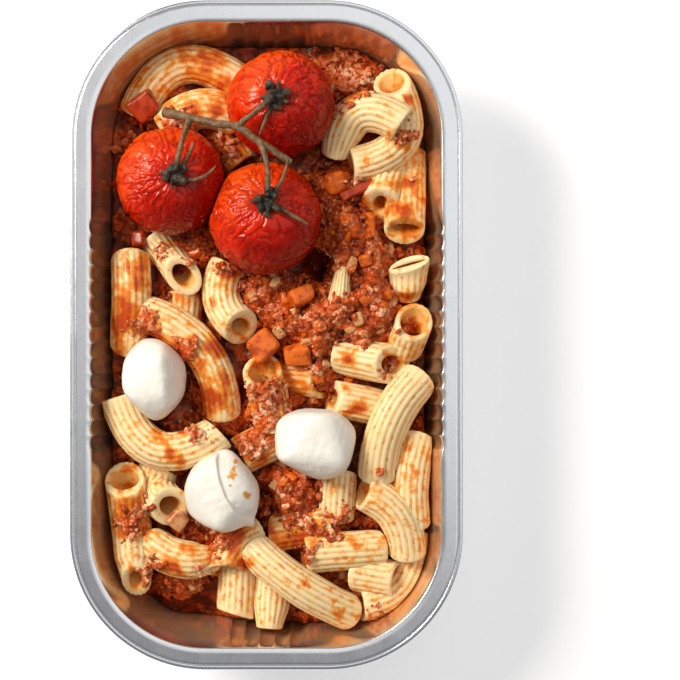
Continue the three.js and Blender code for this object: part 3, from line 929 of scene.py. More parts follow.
@dataclass(frozen=True)
class RootFinish(Finish):
    """Diced vegetables, simmered soft in the sauce.

    Simmering leaves the flesh wet and slightly clear, with sauce in its pores and on its sides.
    """

    name: str
    flesh: str
    deep: str
    sauce: str = "#b8420f"
    sauced: float = 0.7

    def surface(self, node: Adder, place: Socket) -> dict[str, object]:
        """Adds the finish's patterns.

        Args:
            node: add_node for this material.
            place: the Object coordinates.

        Returns:
            The shader's inputs.
        """
        pores = node("TexNoise", {"Vector": place, "Scale": per_mm(2.2), "Detail": 4})
        smears = node(
            "TexNoise", {"Vector": place, "Scale": per_mm(3.4), "Detail": 3, "Roughness": 0.6}
        )
        flesh = node("Mix", {0: pores, 6: self.flesh, 7: self.deep}, 2, data_type="RGBA")
        smear = node("ValToRGB", {0: smears}, stops=[(0.48, 0.0), (0.62, self.sauced)])
        return {
            "Base Color": node("Mix", {0: smear, 6: flesh, 7: self.sauce}, 2, data_type="RGBA"),
            "IOR": 1.42,
            "Specular Tint": linear("#ffdcc0"),
            "Subsurface Weight": 0.2,
            "Subsurface Radius": (1.0, 0.4, 0.15),
            "Subsurface Scale": 1.5 * MM,
            "Coat Weight": 0.35,
            "Coat Roughness": 0.12,
            "Roughness": node("MapRange", {0: pores, "To Min": 0.2, "To Max": 0.5}),
            "Normal": node("Bump", {"Strength": 0.6, "Distance": 0.3 * MM, "Height": smears}),
        }


@dataclass(frozen=True)
class FloorFinish(Finish):
    """Opal acrylic, the top of a product photographer's light table.

    It is matt white and glows a little from below, so that shadows on it stay pale.
    """

    name: str = "opal_acrylic"
    colour: str = "#f2f2f2"
    glow: float = 0.42

    def surface(self, node: Adder, place: Socket) -> dict[str, object]:
        """Adds the finish's patterns.

        Args:
            node: add_node for this material.
            place: the Object coordinates.

        Returns:
            The shader's inputs.
        """
        haze = node("TexNoise", {"Vector": place, "Scale": per_mm(60), "Detail": 2})
        return {
            "Base Color": self.colour,
            "Emission Color": self.colour,
            "Emission Strength": self.glow,
            "Roughness": node("MapRange", {0: haze, "To Min": 0.8, "To Max": 0.95}),
        }


# ---- tray ------------------------------------------------------------------------------------


@dataclass
class Tray:
    """The aluminium tray: a stamped shell with fluted walls and a flange with a curled edge."""

    flange: float = 6.4
    corner_radius: float = 33.0
    draft: float = 0.22
    floor_bend: float = 4.0
    sheet: float = 0.3
    flute_pitch: float = 4.5
    flute_depth: float = 1.0
    flutes_along: int = 15
    flutes_across: int = 5
    flute_steps: int = 10
    flute_foot: float = -30.0
    flute_rise: float = 6.0
    corner_steps: int = 28
    curl: float = 0.6
    curl_middle: float = 0.62
    dent: float = 0.14
    dent_size: float = 16.0

    @property
    def side_x(self) -> float:
        """Half of each end's straight run."""
        return OUTER_X - self.flange - self.corner_radius

    @property
    def side_y(self) -> float:
        """Half of each side's straight run."""
        return OUTER_Y - self.flange - self.corner_radius

    def wall_offset(self, z: np.ndarray | float) -> np.ndarray | float:
        """How far out the wall is at a height, from the flange's inner edge."""
        return z * self.draft

    def depth_inside(self, points: np.ndarray) -> np.ndarray:
        """How far each point lies outside the wall at its own height.

        Args:
            points: rows of x, y, z.

        Returns:
            One distance for each point, negative within.
        """
        across = np.abs(points[:, 0]) - self.side_x
        along = np.abs(points[:, 1]) - self.side_y
        corner = np.hypot(np.maximum(across, 0), np.maximum(along, 0))
        reach = np.where((across > 0) & (along > 0), corner, np.maximum(across, along))
        return reach - self.corner_radius - self.wall_offset(np.minimum(points[:, 2], 0))

    def press_inside(self, points: np.ndarray, clearance: float = 0.3) -> np.ndarray:
        """Presses points that would cross the wall flat against its inside.

        Args:
            points: rows of x, y, z.
            clearance: how far from the wall they stay.

        Returns:
            The moved points.
        """
        moved = points.copy()
        over = np.maximum(self.depth_inside(points) + clearance, 0)
        across = np.abs(points[:, 0]) - self.side_x
        along = np.abs(points[:, 1]) - self.side_y
        in_corner = (across > 0) & (along > 0)
        span = np.maximum(np.hypot(across, along), 1e-6)
        way_x = np.where(in_corner, across / span, (across >= along).astype(float))
        way_y = np.where(in_corner, along / span, (across < along).astype(float))
        moved[:, 0] -= np.sign(points[:, 0]) * way_x * over
        moved[:, 1] -= np.sign(points[:, 1]) * way_y * over
        return moved

    def columns(self) -> tuple[np.ndarray, np.ndarray, np.ndarray, np.ndarray]:
        """Lays out the columns of vertices round the flange's inner edge.

        Returns:
            Their places, their outward ways, how far each is out on its flute, and which are
            at the tray's two ends.
        """
        places, ways, bulges, ends = [], [], [], []
        inner_x = OUTER_X - self.flange
        inner_y = OUTER_Y - self.flange
        for side in range(4):
            turn = side * math.pi / 2
            out = np.array([math.cos(turn), math.sin(turn)])
            along = np.array([-out[1], out[0]])
            half = (self.side_y, self.side_x)[side % 2]
            inner = (inner_x, inner_y)[side % 2]
            band = (self.flutes_along, self.flutes_across)[side % 2] * self.flute_pitch / 2
            flat = np.linspace(-half, -band, 9)[:-1]
            fluted = np.arange(-band, band, self.flute_pitch / self.flute_steps)
            for s in np.concatenate([flat, fluted, -flat[::-1]]):
                phase = ((s + band) % self.flute_pitch) / self.flute_pitch
                round_out = math.sqrt(max(0.0, 1 - (2 * phase - 1) ** 2)) if abs(s) < band else 0.0
                places.append(out * inner + along * s)
                ways.append(out)
                bulges.append(0.15 * round_out + 0.85 * round_out**2)
                ends.append(float(side % 2))
            centre = out * (inner - self.corner_radius) + along * half
            for step in range(1, self.corner_steps):
                angle = turn + step / self.corner_steps * math.pi / 2
                way = np.array([math.cos(angle), math.sin(angle)])
                places.append(centre + way * self.corner_radius)
                ways.append(way)
                bulges.append(0.0)
                ends.append(0.0)
        return np.array(places), np.array(ways), np.array(bulges), np.array(ends)

    def profile(self) -> list[tuple[float, float, float]]:
        """The section from the floor up the wall, over the flange and round the curl.

        Returns:
            For each row its offset from the flange's inner edge, its height, and how much of
            the flutes' depth it has.
        """
        floor = -RIM + self.sheet
        bend, foot = self.floor_bend, floor + self.floor_bend
        at_floor, at_foot = self.wall_offset(floor), self.wall_offset(foot)
        rows = []
        for t in np.linspace(0, 1, 6):
            offset = (1 - t) ** 2 * (at_floor - bend) + 2 * t * (1 - t) * at_floor + t * t * at_foot
            rows.append((offset, floor + bend * t * t, 0.0))
        for z in np.linspace(foot, -1.1, 17)[1:]:
            flute = smoothstep(self.flute_foot, self.flute_foot + self.flute_rise, z)
            rows.append((self.wall_offset(z), z, float(flute)))
        rows += [(-0.1, -0.65, 1.0), (0.0, -0.35, 1.0), (0.12, -0.12, 1.0), (0.36, 0.0, 1.0)]
        rows += [(offset, 0.0, 0.0) for offset in (1.75, 3.0, 4.2, 4.7)]
        rows += [(4.86, -0.1, 0.0), (5.0, -0.32, 0.0), (5.14, -0.1, 0.0), (5.3, 0.0, 0.0)]
        for turn in np.linspace(60, -140, 11):
            angle = math.radians(turn)
            offset = self.flange - self.curl_middle + self.curl * math.cos(angle)
            rows.append((offset, -self.curl_middle + self.curl * math.sin(angle), 0.0))
        return rows

    def build(self) -> bpy.types.Object:
        """Draws the floor's outline, extrudes it row by row up to the curl, and thickens it.

        Returns:
            The tray.
        """
        places, ways, bulges, ends = self.columns()
        count = len(places)

        def ring(offset: float, z: float, flute: float) -> np.ndarray:
            """Places one row. The flutes get shallow near the flange, and most at the ends.

            Args:
                offset: how far out of the flange's inner edge it lies.
                z: its height.
                flute: how much of the flutes' depth it has.

            Returns:
                Rows of x, y, z.
            """
            run_out = 1 - (0.5 + 0.5 * ends) * (1 - float(smoothstep(-0.5, -5, z)))
            plan = places + ways * (offset + flute * self.flute_depth * bulges * run_out)[:, None]
            row = np.column_stack([plan, np.full(count, z)])
            if z < -2:
                dents = noise_at(row, self.dent_size, 2) * self.dent * smoothstep(-2, -6, z)
                row[:, :2] += ways * dents[:, None]
            return row

        rows = [ring(*row) for row in self.profile()]
        deselect()
        bpy.ops.mesh.primitive_circle_add(vertices=count, radius=0.05)
        tray = new_piece("tray_foil")
        write_points(tray, rows[0])
        for index, row in enumerate(rows[1:]):
            before = len(tray.data.vertices)
            edit_vertices(tray, np.arange(before) >= before - count)
            bpy.ops.mesh.extrude_region_move()
            leave_edit_mode()
            points = read_points(tray)
            # The new vertices come in an order of their own, so each finds its old place.
            gap = ((points[before:, None, :] - rows[index][None, :, :]) ** 2).sum(axis=2)
            rows[index + 1] = row[gap.argmin(axis=1)]
            points[before:] = rows[index + 1]
            write_points(tray, points)
        edit_vertices(tray, np.arange(len(tray.data.vertices)) < count)
        bpy.ops.mesh.edge_face_add()
        bpy.ops.mesh.select_all(action="SELECT")
        bpy.ops.mesh.normals_make_consistent(inside=False)
        leave_edit_mode()
        floor = max(tray.data.polygons, key=lambda polygon: polygon.area)
        if floor.normal.z < 0:
            tray.data.flip_normals()
        before = len(tray.data.vertices)
        apply_modifier(tray, "SOLIDIFY", thickness=self.sheet * MM, offset=-1)
        store(tray, "within", np.arange(len(tray.data.vertices)) < before)
        smooth(tray, 50)
        finish_piece(tray, FoilFinish().material(), "aluminium", "tray")
        return tray


# ---- sauce -----------------------------------------------------------------------------------


@dataclass
class SauceBed:
    """The sauce that the food lies in, as one mound with piles of mince and pits in it."""

    tray: Tray
    middle: float = -16.5
    end_drop: float = 5.0
    side_drop: float = 2.0
    highest_pile: float = 9.0
    margin: float = 8.0
    cell: float = 0.5
    lump: float = 6.0
    lump_height: float = 1.9
    crumb: float = 1.7
    crumb_height: float = 1.3
    fine_height: float = 0.6
    clearance: float = 0.25
    floor: float = 1.0  # from the table

    def pile_height(self, x: np.ndarray, y: np.ndarray) -> np.ndarray:
        """How much the piles of mince and the pits add to the sauce's height.

        Args:
            x: the points' places across the tray.
            y: the points' places along the tray.

        Returns:
            One height for each point, negative in a pit.
        """
        rise = np.zeros_like(x)
        for pile in PILES:
            rise += pile.rise * np.exp(-((x - pile.x) ** 2 + (y - pile.y) ** 2) / pile.spread**2)
        return rise

    def top(self, x: np.ndarray, y: np.ndarray) -> np.ndarray:
        """The height of the bare sauce.

        Args:
            x: the points' places across the tray.
            y: the points' places along the tray.

        Returns:
            One height for each point.
        """
        inner_x, inner_y = OUTER_X - self.tray.flange, OUTER_Y - self.tray.flange
        fall = self.end_drop * (np.abs(y) / inner_y) ** 4
        fall += self.side_drop * (np.abs(x) / inner_x) ** 4
        return self.middle - fall + np.minimum(self.pile_height(x, y), self.highest_pile)

    def build(self) -> bpy.types.Object:
        """Shapes a grid into the mound, trims it to the tray and closes it below.

        Returns:
            The mound.
        """
        width, length = 2 * (OUTER_X - self.margin), 2 * (OUTER_Y - self.margin)
        deselect()
        bpy.ops.mesh.primitive_grid_add(
            x_subdivisions=round(width / self.cell),
            y_subdivisions=round(length / self.cell),
            size=MM,
        )
        bpy.ops.transform.resize(value=(width, length, 1))
        bed = new_piece("sauce_bed")
        points = read_points(bed)
        points[:, 2] = self.top(points[:, 0], points[:, 1])
        write_points(bed, points)
        edit_vertices(bed, self.tray.depth_inside(points) > self.cell)
        bpy.ops.mesh.delete(type="VERT")
        bpy.ops.mesh.select_all(action="SELECT")
        bpy.ops.mesh.normals_make_consistent(inside=False)
        leave_edit_mode()
        if bed.data.polygons[0].normal.z < 0:
            bed.data.flip_normals()
        points = read_points(bed)
        pile = smoothstep(0.8, 4.0, self.pile_height(points[:, 0], points[:, 1]))
        flat = points * (1, 1, 0)
        lumps = noise_at(flat, self.lump, 3, 3.0)
        crumbs = crumbs_at(flat + 0.5 * lumps[:, None], self.crumb)
        fine = crumbs_at(flat, 0.8 * self.crumb, 7.3)
        # The sauce is lumpiest and most crumbly on the piles.
        grit = self.crumb_height * (crumbs - 0.5) + self.fine_height * (fine - 0.5)
        points[:, 2] += self.lump_height * lumps * (0.5 + pile) + grit * (0.35 + 0.65 * pile)
        write_points(bed, self.tray.press_inside(points, self.clearance))
        store(bed, "pile", pile * smoothstep(-0.45, 0.1, lumps + 0.3 * pile))
        # Painted shade: the low places between the crumbs, where the grit sinks the surface.
        store(bed, "hollow_shade", smoothstep(0.55, 0.25, crumbs) * 0.8)
        self.close(bed)
        smooth(bed)
        finish_piece(bed, SauceFinish().material(), "pasta_and_sauce", "macaroni_bolognese")
        return bed

    def close(self, bed: bpy.types.Object) -> None:
        """Draws the mound's edge down to the tray's floor and closes the bottom.

        Args:
            bed: the mound's top.
        """
        activate(bed)
        bpy.context.tool_settings.mesh_select_mode = (False, True, False)
        bpy.ops.object.mode_set(mode="EDIT")
        bpy.ops.mesh.select_all(action="DESELECT")
        bpy.ops.mesh.select_non_manifold(
            extend=False,
            use_wire=False,
            use_multi_face=False,
            use_non_contiguous=False,
            use_verts=False,
        )
        leave_edit_mode()
        before = len(bed.data.vertices)
        bpy.ops.object.mode_set(mode="EDIT")
        bpy.ops.mesh.extrude_region_move()
        leave_edit_mode()
        points = read_points(bed)
        points[before:, 2] = -RIM + self.floor
        write_points(bed, self.tray.press_inside(points))
        bpy.ops.object.mode_set(mode="EDIT")
        bpy.ops.mesh.edge_face_add()
        leave_edit_mode()


# ---- macaroni --------------------------------------------------------------------------------


@dataclass
class Macaroni:
    """Ridged elbow macaroni: one straight tube, modelled once, then copied and bent to lie."""

    tray: Tray
    bed: SauceBed
    radius: float = 5.8
    wall: float = 2.0
    ridges: int = 18
    ridge_depth: float = 0.34
    groove_shape: tuple[float, ...] = (0.0, 0.35, 1.0, 0.35, 0.0)
    steps: int = 19
    lip: float = 0.55
    lip_rings: tuple[float, ...] = (0.0, 0.13, 0.42)  # from each end
    first_ring: float = 1.3
    inner_lip: float = 0.25
    outer_lip: float = 0.5
    cut_reach: float = 8.0
    slant_reach: float = 9.0
    pressed_reach: float = 2.2
    uneven: float = 0.045
    spare: float = 6.0  # of path beyond each end
    clearance: float = 0.35
    halfway: float = -8.0  # pieces in front of this y are one half
    seed: int = 5
    straight: bpy.types.Object | None = field(default=None, init=False)

    def build_straight(self) -> None:
        """Models a straight tube of unit length along X, ridged outside and smooth inside."""
        columns = self.ridges * len(self.groove_shape)
        deselect()
        bpy.ops.mesh.primitive_cylinder_add(
            vertices=columns,
            radius=self.radius * MM,
            depth=MM,
            end_fill_type="NOTHING",
            location=(0.5 * MM, 0, 0),
            rotation=(0, math.pi / 2, 0),
        )
        tube = new_piece("macaroni")
        edit_vertices(tube, np.zeros(len(tube.data.vertices), bool))
        leave_edit_mode()
        bpy.context.tool_settings.mesh_select_mode = (False, True, False)
        ends = [vertex.co.x for vertex in tube.data.vertices]
        for edge in tube.data.edges:
            edge.select = bool(abs(ends[edge.vertices[0]] - ends[edge.vertices[1]]) > MM / 2)
        bpy.ops.object.mode_set(mode="EDIT")
        bpy.ops.mesh.subdivide(number_cuts=self.steps)
        leave_edit_mode()
        points = read_points(tube) + FROM_ORIGIN
        angle = np.arctan2(points[:, 2], points[:, 1])
        phase = np.round(angle / (2 * math.pi) * columns).astype(int) % len(self.groove_shape)
        for column, depth in enumerate(self.groove_shape):
            if depth:
                edit_vertices(tube, phase == column)
                scale = 1 - depth * self.ridge_depth / self.radius
                bpy.ops.transform.resize(value=(1, scale, scale))
                leave_edit_mode()
        reach = np.hypot(*(read_points(tube) + FROM_ORIGIN)[:, 1:].T)
        store(tube, "groove", (self.radius - reach) / self.ridge_depth)
        before = len(tube.data.vertices)
        apply_modifier(tube, "SOLIDIFY", thickness=self.wall * MM, offset=-1)
        points = read_points(tube) + FROM_ORIGIN
        inside = np.arange(len(points)) >= before
        outside = points[~inside, 1:]
        bore = self.radius - self.wall
        points[inside, 1:] = outside * (bore / np.hypot(*outside.T))[:, None]
        write_points(tube, points - FROM_ORIGIN)
        store(tube, "inside", inside.astype(float))
        self.straight = tube

    def shaped(self, name: str, bend: Bend, random: Random) -> bpy.types.Object:
        """Copies the straight tube, cuts and squashes it, and bends it to its place.

        Args:
            name: the piece's name.
            bend: how it lies.
            random: where its unevenness comes from.

        Returns:
            The new piece.
        """
        piece = self.straight.copy()
        piece.data = self.straight.data.copy()
        piece.name = name
        bpy.context.scene.collection.objects.link(piece)
        path, length = self.path(bend)
        points = read_points(piece) + FROM_ORIGIN
        bore = self.radius - self.wall
        inside = np.hypot(points[:, 1], points[:, 2]) < bore + 0.2
        rings = self.steps + 2
        lips = np.array(self.lip_rings)
        rest = np.linspace(self.first_ring, length - self.first_ring, rings - 2 * len(lips))
        stations = np.concatenate([lips, rest, length - lips[::-1]])
        along = stations[np.round(points[:, 0] * (rings - 1)).astype(int)]
        tip = np.clip(1 - np.minimum(along, length - along) / self.lip, 0, 1)
        turn = 1 - np.sqrt(1 - tip**2)
        squash = np.array([bend.wide, bend.high]) * (1 + random.uniform(-0.04, 0.04))
        opened, narrowed = 1 + self.inner_lip * turn / bore, 1 - self.outer_lip * turn / self.radius
        points[:, 1:] *= squash * np.where(inside, opened, narrowed)[:, None]
        lean = np.zeros(len(points))
        for cut, gap, way in ((bend.cuts[0], along, 1), (bend.cuts[1], length - along, -1)):
            near = smoothstep(self.cut_reach, 0, gap)[:, None]
            hole = np.array(cut.bore) / (bore * squash)
            points[:, 1:] *= 1 + near * (np.where(inside[:, None], hole, cut.taper) - 1)
            leaning = cut.slant * points[:, 2] + cut.skew * points[:, 1]
            lean += way * smoothstep(self.slant_reach, 0, gap) * leaning
        points[:, 0] = along + lean
        # The knife has pressed the ridges flat at each cut.
        cut_edge = smoothstep(self.pressed_reach, 0.6, np.minimum(along, length - along))
        groove = np.zeros(len(points), np.float32)
        piece.data.attributes["groove"].data.foreach_get("value", groove)
        even = 1 + cut_edge * ~inside * (groove - 0.4) * self.ridge_depth / self.radius
        points[:, 1:] *= even[:, None]
        store(piece, "groove", np.where(inside, 0.2, 1 - cut_edge) * groove)
        dents = noise_at(points + random.uniform(-90, 90), 9, 2)
        points[:, 1:] *= (1 + self.uneven * dents)[:, None]
        points[:, 0] += self.spare
        write_points(piece, points - FROM_ORIGIN)
        self.bend_along(piece, path)
        points = read_points(piece)
        above = points[:, 2] - self.bed.top(points[:, 0], points[:, 1])
        sauce = bend.sauce + random.uniform(-0.04, 0.04) + 0.35 * smoothstep(3.5, 0, above)
        store(piece, "sauced", np.clip(sauce + spots_at(points, STAINS), 0, 1.3))
        return piece

    def path(self, bend: Bend) -> tuple[list[Vector], float]:
        """Finds the middle line of a bent piece.

        Args:
            bend: how it lies.

        Returns:
            Places in metres along the line, with a straight spare run beyond each end, and the
            length between the ends.
        """
        start, finish = metres(bend.start), metres(bend.finish)
        way = finish - start
        left = Vector((-way.y, way.x, 0)).normalized()
        push = (left * bend.bow + Vector((0, 0, bend.lift))) * MM
        path = [start + way * t + push * 4 * t * (1 - t) for t in np.linspace(0, 1, 31)]
        length = sum((b - a).length for a, b in zip(path, path[1:])) / MM
        first = (path[0] - path[1]).normalized() * MM
        last = (path[-1] - path[-2]).normalized() * MM
        reach = range(1, round(self.spare) + 1)
        before = [path[0] + first * step for step in reversed(reach)]
        return before + path + [path[-1] + last * step for step in reach], length

    @staticmethod
    def bend_along(piece: bpy.types.Object, path: Sequence[Vector]) -> None:
        """Bends a piece that lies along X to a path, with a Curve modifier.

        Args:
            piece: the piece.
            path: places in metres along its new middle line.
        """
        curve = bpy.data.curves.new("macaroni_path", "CURVE")
        curve.dimensions = "3D"
        curve.twist_mode = "Z_UP"
        spline = curve.splines.new("POLY")
        spline.points.add(len(path) - 1)
        for point, place in zip(spline.points, path):
            point.co = (*place, 1)
        guide = bpy.data.objects.new("macaroni_path", curve)
        bpy.context.scene.collection.objects.link(guide)
        apply_modifier(piece, "CURVE", object=guide, deform_axis="POS_X")
        bpy.data.objects.remove(guide)
        bpy.data.curves.remove(curve)

    def build(self) -> list[bpy.types.Object]:
        """Bends every piece and joins them, the front half of the tray and the back half.

        Returns:
            The two halves.
        """
        self.build_straight()
        random = Random(self.seed)
        made = {name: self.shaped(name, bend, random) for name, bend in PASTA.items()}
        bpy.data.objects.remove(self.straight)
        halves = {"macaroni_front": [], "macaroni_back": []}
        for name, piece in made.items():
            front = (PASTA[name].start[1] + PASTA[name].finish[1]) / 2 < self.halfway
            halves["macaroni_front" if front else "macaroni_back"].append(piece)
        material = PastaFinish().material()
        wholes = []
        for name, pieces in halves.items():
            whole = joined(pieces, name)
            write_points(whole, self.tray.press_inside(read_points(whole), self.clearance))
            smooth(whole)
            finish_piece(whole, material, "pasta_and_sauce", "macaroni_bolognese")
            wholes.append(whole)
        return wholes


# ---- mince and vegetables --------------------------------------------------------------------


class Surface:
    """The top of what has been built so far, to drop small things onto."""

    def __init__(self, pieces: Sequence[bpy.types.Object]) -> None:
        """Gathers the pieces' faces.

        Args:
            pieces: what has been built.
        """
        corners: list = []
        faces: list = []
        self.owners: list[str] = []
        for piece in pieces:
            start = len(corners)
            corners.extend(map(tuple, read_points(piece)))
            for polygon in piece.data.polygons:
                faces.append([start + i for i in polygon.vertices])
                self.owners.append(piece.name)
        self.tree = BVHTree.FromPolygons(corners, faces)

    def below(self, x: float, y: float) -> tuple[float, str] | None:
        """Looks straight down at a place.

        Args:
            x: the place across the tray.
            y: the place along the tray.

        Returns:
            The height of the first surface and the name of its piece, or None.
        """
        hit, _, index, _ = self.tree.ray_cast(Vector((x, y, 30)), Vector((0, 0, -1)))
        return None if hit is None else (hit.z, self.owners[index])


class Root(Enum):
    """What a dice or a bit is cut from."""

    CARROT = "carrot"
    PEPPER = "pepper"
    ONION = "onion"


ROOT_FINISHES = {
    Root.CARROT: RootFinish("cooked_carrot", "#f28428", "#d8500f", "#a83408", 0.8),
    Root.PEPPER: RootFinish("cooked_red_pepper", "#d24a18", "#a02408", "#8a2606", 0.8),
    Root.ONION: RootFinish("cooked_onion", "#eec088", "#cc7e3e", sauced=0.75),
}


@dataclass(frozen=True)
class Dice:
    """A dice of vegetable: where it lies, its edges, its turn and what it is."""

    place: Place
    edges: tuple[float, float, float]
    turn: float
    root: Root = Root.CARROT


@dataclass
class Vegetables:
    """Diced carrot, pepper and onion that lie on top."""

    dice: tuple[Dice, ...] = (
        Dice((10.2, 11.7, -7.3), (8, 6, 6), 25),
        Dice((-1.3, -3.1, -8.0), (9, 8, 6), 40),
        Dice((8.4, -6.0, -8.2), (8.5, 7, 5.5), 12),
        Dice((33, 7.8, -7.4), (5, 4.5, 4), 30),
        Dice((28.8, 21.8, -6.6), (4.2, 3.6, 3.6), 15),
        Dice((30, 32.3, -8), (3.4, 7.5, 4), 5),
        Dice((20, 44.8, -9), (6, 6.5, 5), 20),
        Dice((35, -50, -8), (7, 6, 5), 28),
        Dice((-36, 67.3, -10.5), (8, 7.5, 5), 35, Root.PEPPER),
        Dice((-38, 28.5, -14), (5, 5.5, 4), 5, Root.PEPPER),
        Dice((26.5, 42.4, -7.4), (11.5, 2.8, 2.6), 28, Root.PEPPER),
        Dice((-26.2, -54.3, -8.2), (5.5, 5.5, 3.4), 50, Root.ONION),
        Dice((7.6, 6.1, -7), (3.4, 3.2, 3), 10, Root.ONION),
        Dice((26.7, 4.6, -6.2), (3.6, 4, 3), 20, Root.ONION),
        Dice((25, 21, -6.6), (4.2, 3, 2.4), 70, Root.ONION),
        Dice((3.5, 0.7, -7), (3, 4, 2.6), 30, Root.ONION),
    )
    tilt: float = 0.4  # radians, at most
    corners: tuple[float, float] = (0.74, 1.1)  # how far out each corner lies, at least and most
    bevel: float = 0.24  # of the shortest edge
    swell: float = 0.13
    grain: float = 0.035
    seed: int = 8

    def build(self) -> list[bpy.types.Object]:
        """Models each dice, and joins those of one kind.

        Returns:
            One piece for each kind.
        """
        random = Random(self.seed)
        made: dict[Root, list[bpy.types.Object]] = {root: [] for root in Root}
        for one in self.dice:
            made[one.root].append(self.cube(one, random))
        wholes = []
        for root, pieces in made.items():
            whole = joined(pieces, f"{root.value}_dice")
            smooth(whole)
            finish_piece(
                whole, ROOT_FINISHES[root].material(), "pasta_and_sauce", "macaroni_bolognese"
            )
            wholes.append(whole)
        return wholes

    def cube(self, one: Dice, random: Random) -> bpy.types.Object:
        """Models one dice with worn, rounded edges.

        Args:
            one: where it lies and its size.
            random: where its unevenness comes from.

        Returns:
            The dice.
        """
        deselect()
        bpy.ops.mesh.primitive_cube_add(
            size=1,
            location=metres(one.place),
            rotation=(
                random.uniform(-self.tilt, self.tilt),
                random.uniform(-self.tilt, self.tilt),
                math.radians(one.turn),
            ),
            scale=[edge * MM for edge in one.edges],
        )
        cube = new_piece("dice")
        points = read_points(cube)
        middle = points.mean(axis=0)
        spread = np.array([[random.uniform(*self.corners) for _ in range(3)] for _ in points])
        write_points(cube, middle + (points - middle) * spread)
        apply_modifier(cube, "BEVEL", width=self.bevel * min(one.edges) * MM, segments=3)
        edit_vertices(cube, np.ones(len(cube.data.vertices), bool))
        bpy.ops.mesh.subdivide(number_cuts=2, smoothness=0.2)
        leave_edit_mode()
        apply_modifier(cube, "SUBSURF", levels=1, render_levels=1)
        points = read_points(cube)
        uneven = self.swell * noise_at(points, 4.0, 1) + self.grain * noise_at(points, 1.1, 2)
        write_points(cube, middle + (points - middle) * (1 + uneven)[:, None])
        return cube


def lump_shapes(
    random: Random, count: int, roughness: float
) -> tuple[list[np.ndarray], np.ndarray]:
    """Models some uneven crumbs of about unit radius from one coarse ball.

    Args:
        random: where their unevenness comes from.
        count: how many.
        roughness: how uneven they are.

    Returns:
        The vertices of each, and the faces that they share.
    """
    deselect()
    bpy.ops.mesh.primitive_uv_sphere_add(segments=8, ring_count=4, radius=MM)
    ball = new_piece("crumb")
    apply_modifier(ball, "TRIANGULATE")
    points = read_points(ball) + FROM_ORIGIN
    faces = np.array([list(polygon.vertices) for polygon in ball.data.polygons])
    bpy.data.objects.remove(ball)
    shapes = []
    for _ in range(count):
        swell = noise_at(points + random.uniform(-50, 50), 0.7, 2)
        stretch = np.array([random.uniform(0.6, 1.5) for _ in range(3)])
        shapes.append(points * (1 + roughness * swell)[:, None] * stretch)
    return shapes, faces


def turned(random: Random) -> np.ndarray:
    """A random rotation, as a matrix."""
    matrix = np.linalg.qr([[random.gauss(0, 1) for _ in range(3)] for _ in range(3)])[0]
    return matrix * np.sign(np.linalg.det(matrix))


def from_shapes(
    name: str, items: Sequence[tuple[np.ndarray, float]], faces: np.ndarray
) -> bpy.types.Object:
    """Makes one mesh of many small things that share their faces.

    Args:
        name: the piece's name.
        items: each thing's vertices, in millimetres from the rim, and its tone.
        faces: the faces of one thing.

    Returns:
        The new piece, with each thing's tone stored on it.
    """
    size = len(items[0][0])
    points = np.concatenate([points for points, _ in items])
    shifted = (faces[None, :, :] + np.arange(len(items))[:, None, None] * size).reshape(-1, 3)
    mesh = bpy.data.meshes.new(name)
    mesh.from_pydata([(0, 0, 0)] * len(points), [], shifted.tolist())
    piece = bpy.data.objects.new(name, mesh)
    bpy.context.scene.collection.objects.link(piece)
    write_points(piece, points)
    store(piece, "tone", np.repeat([tone for _, tone in items], size))
    smooth(piece, 42)
    return piece


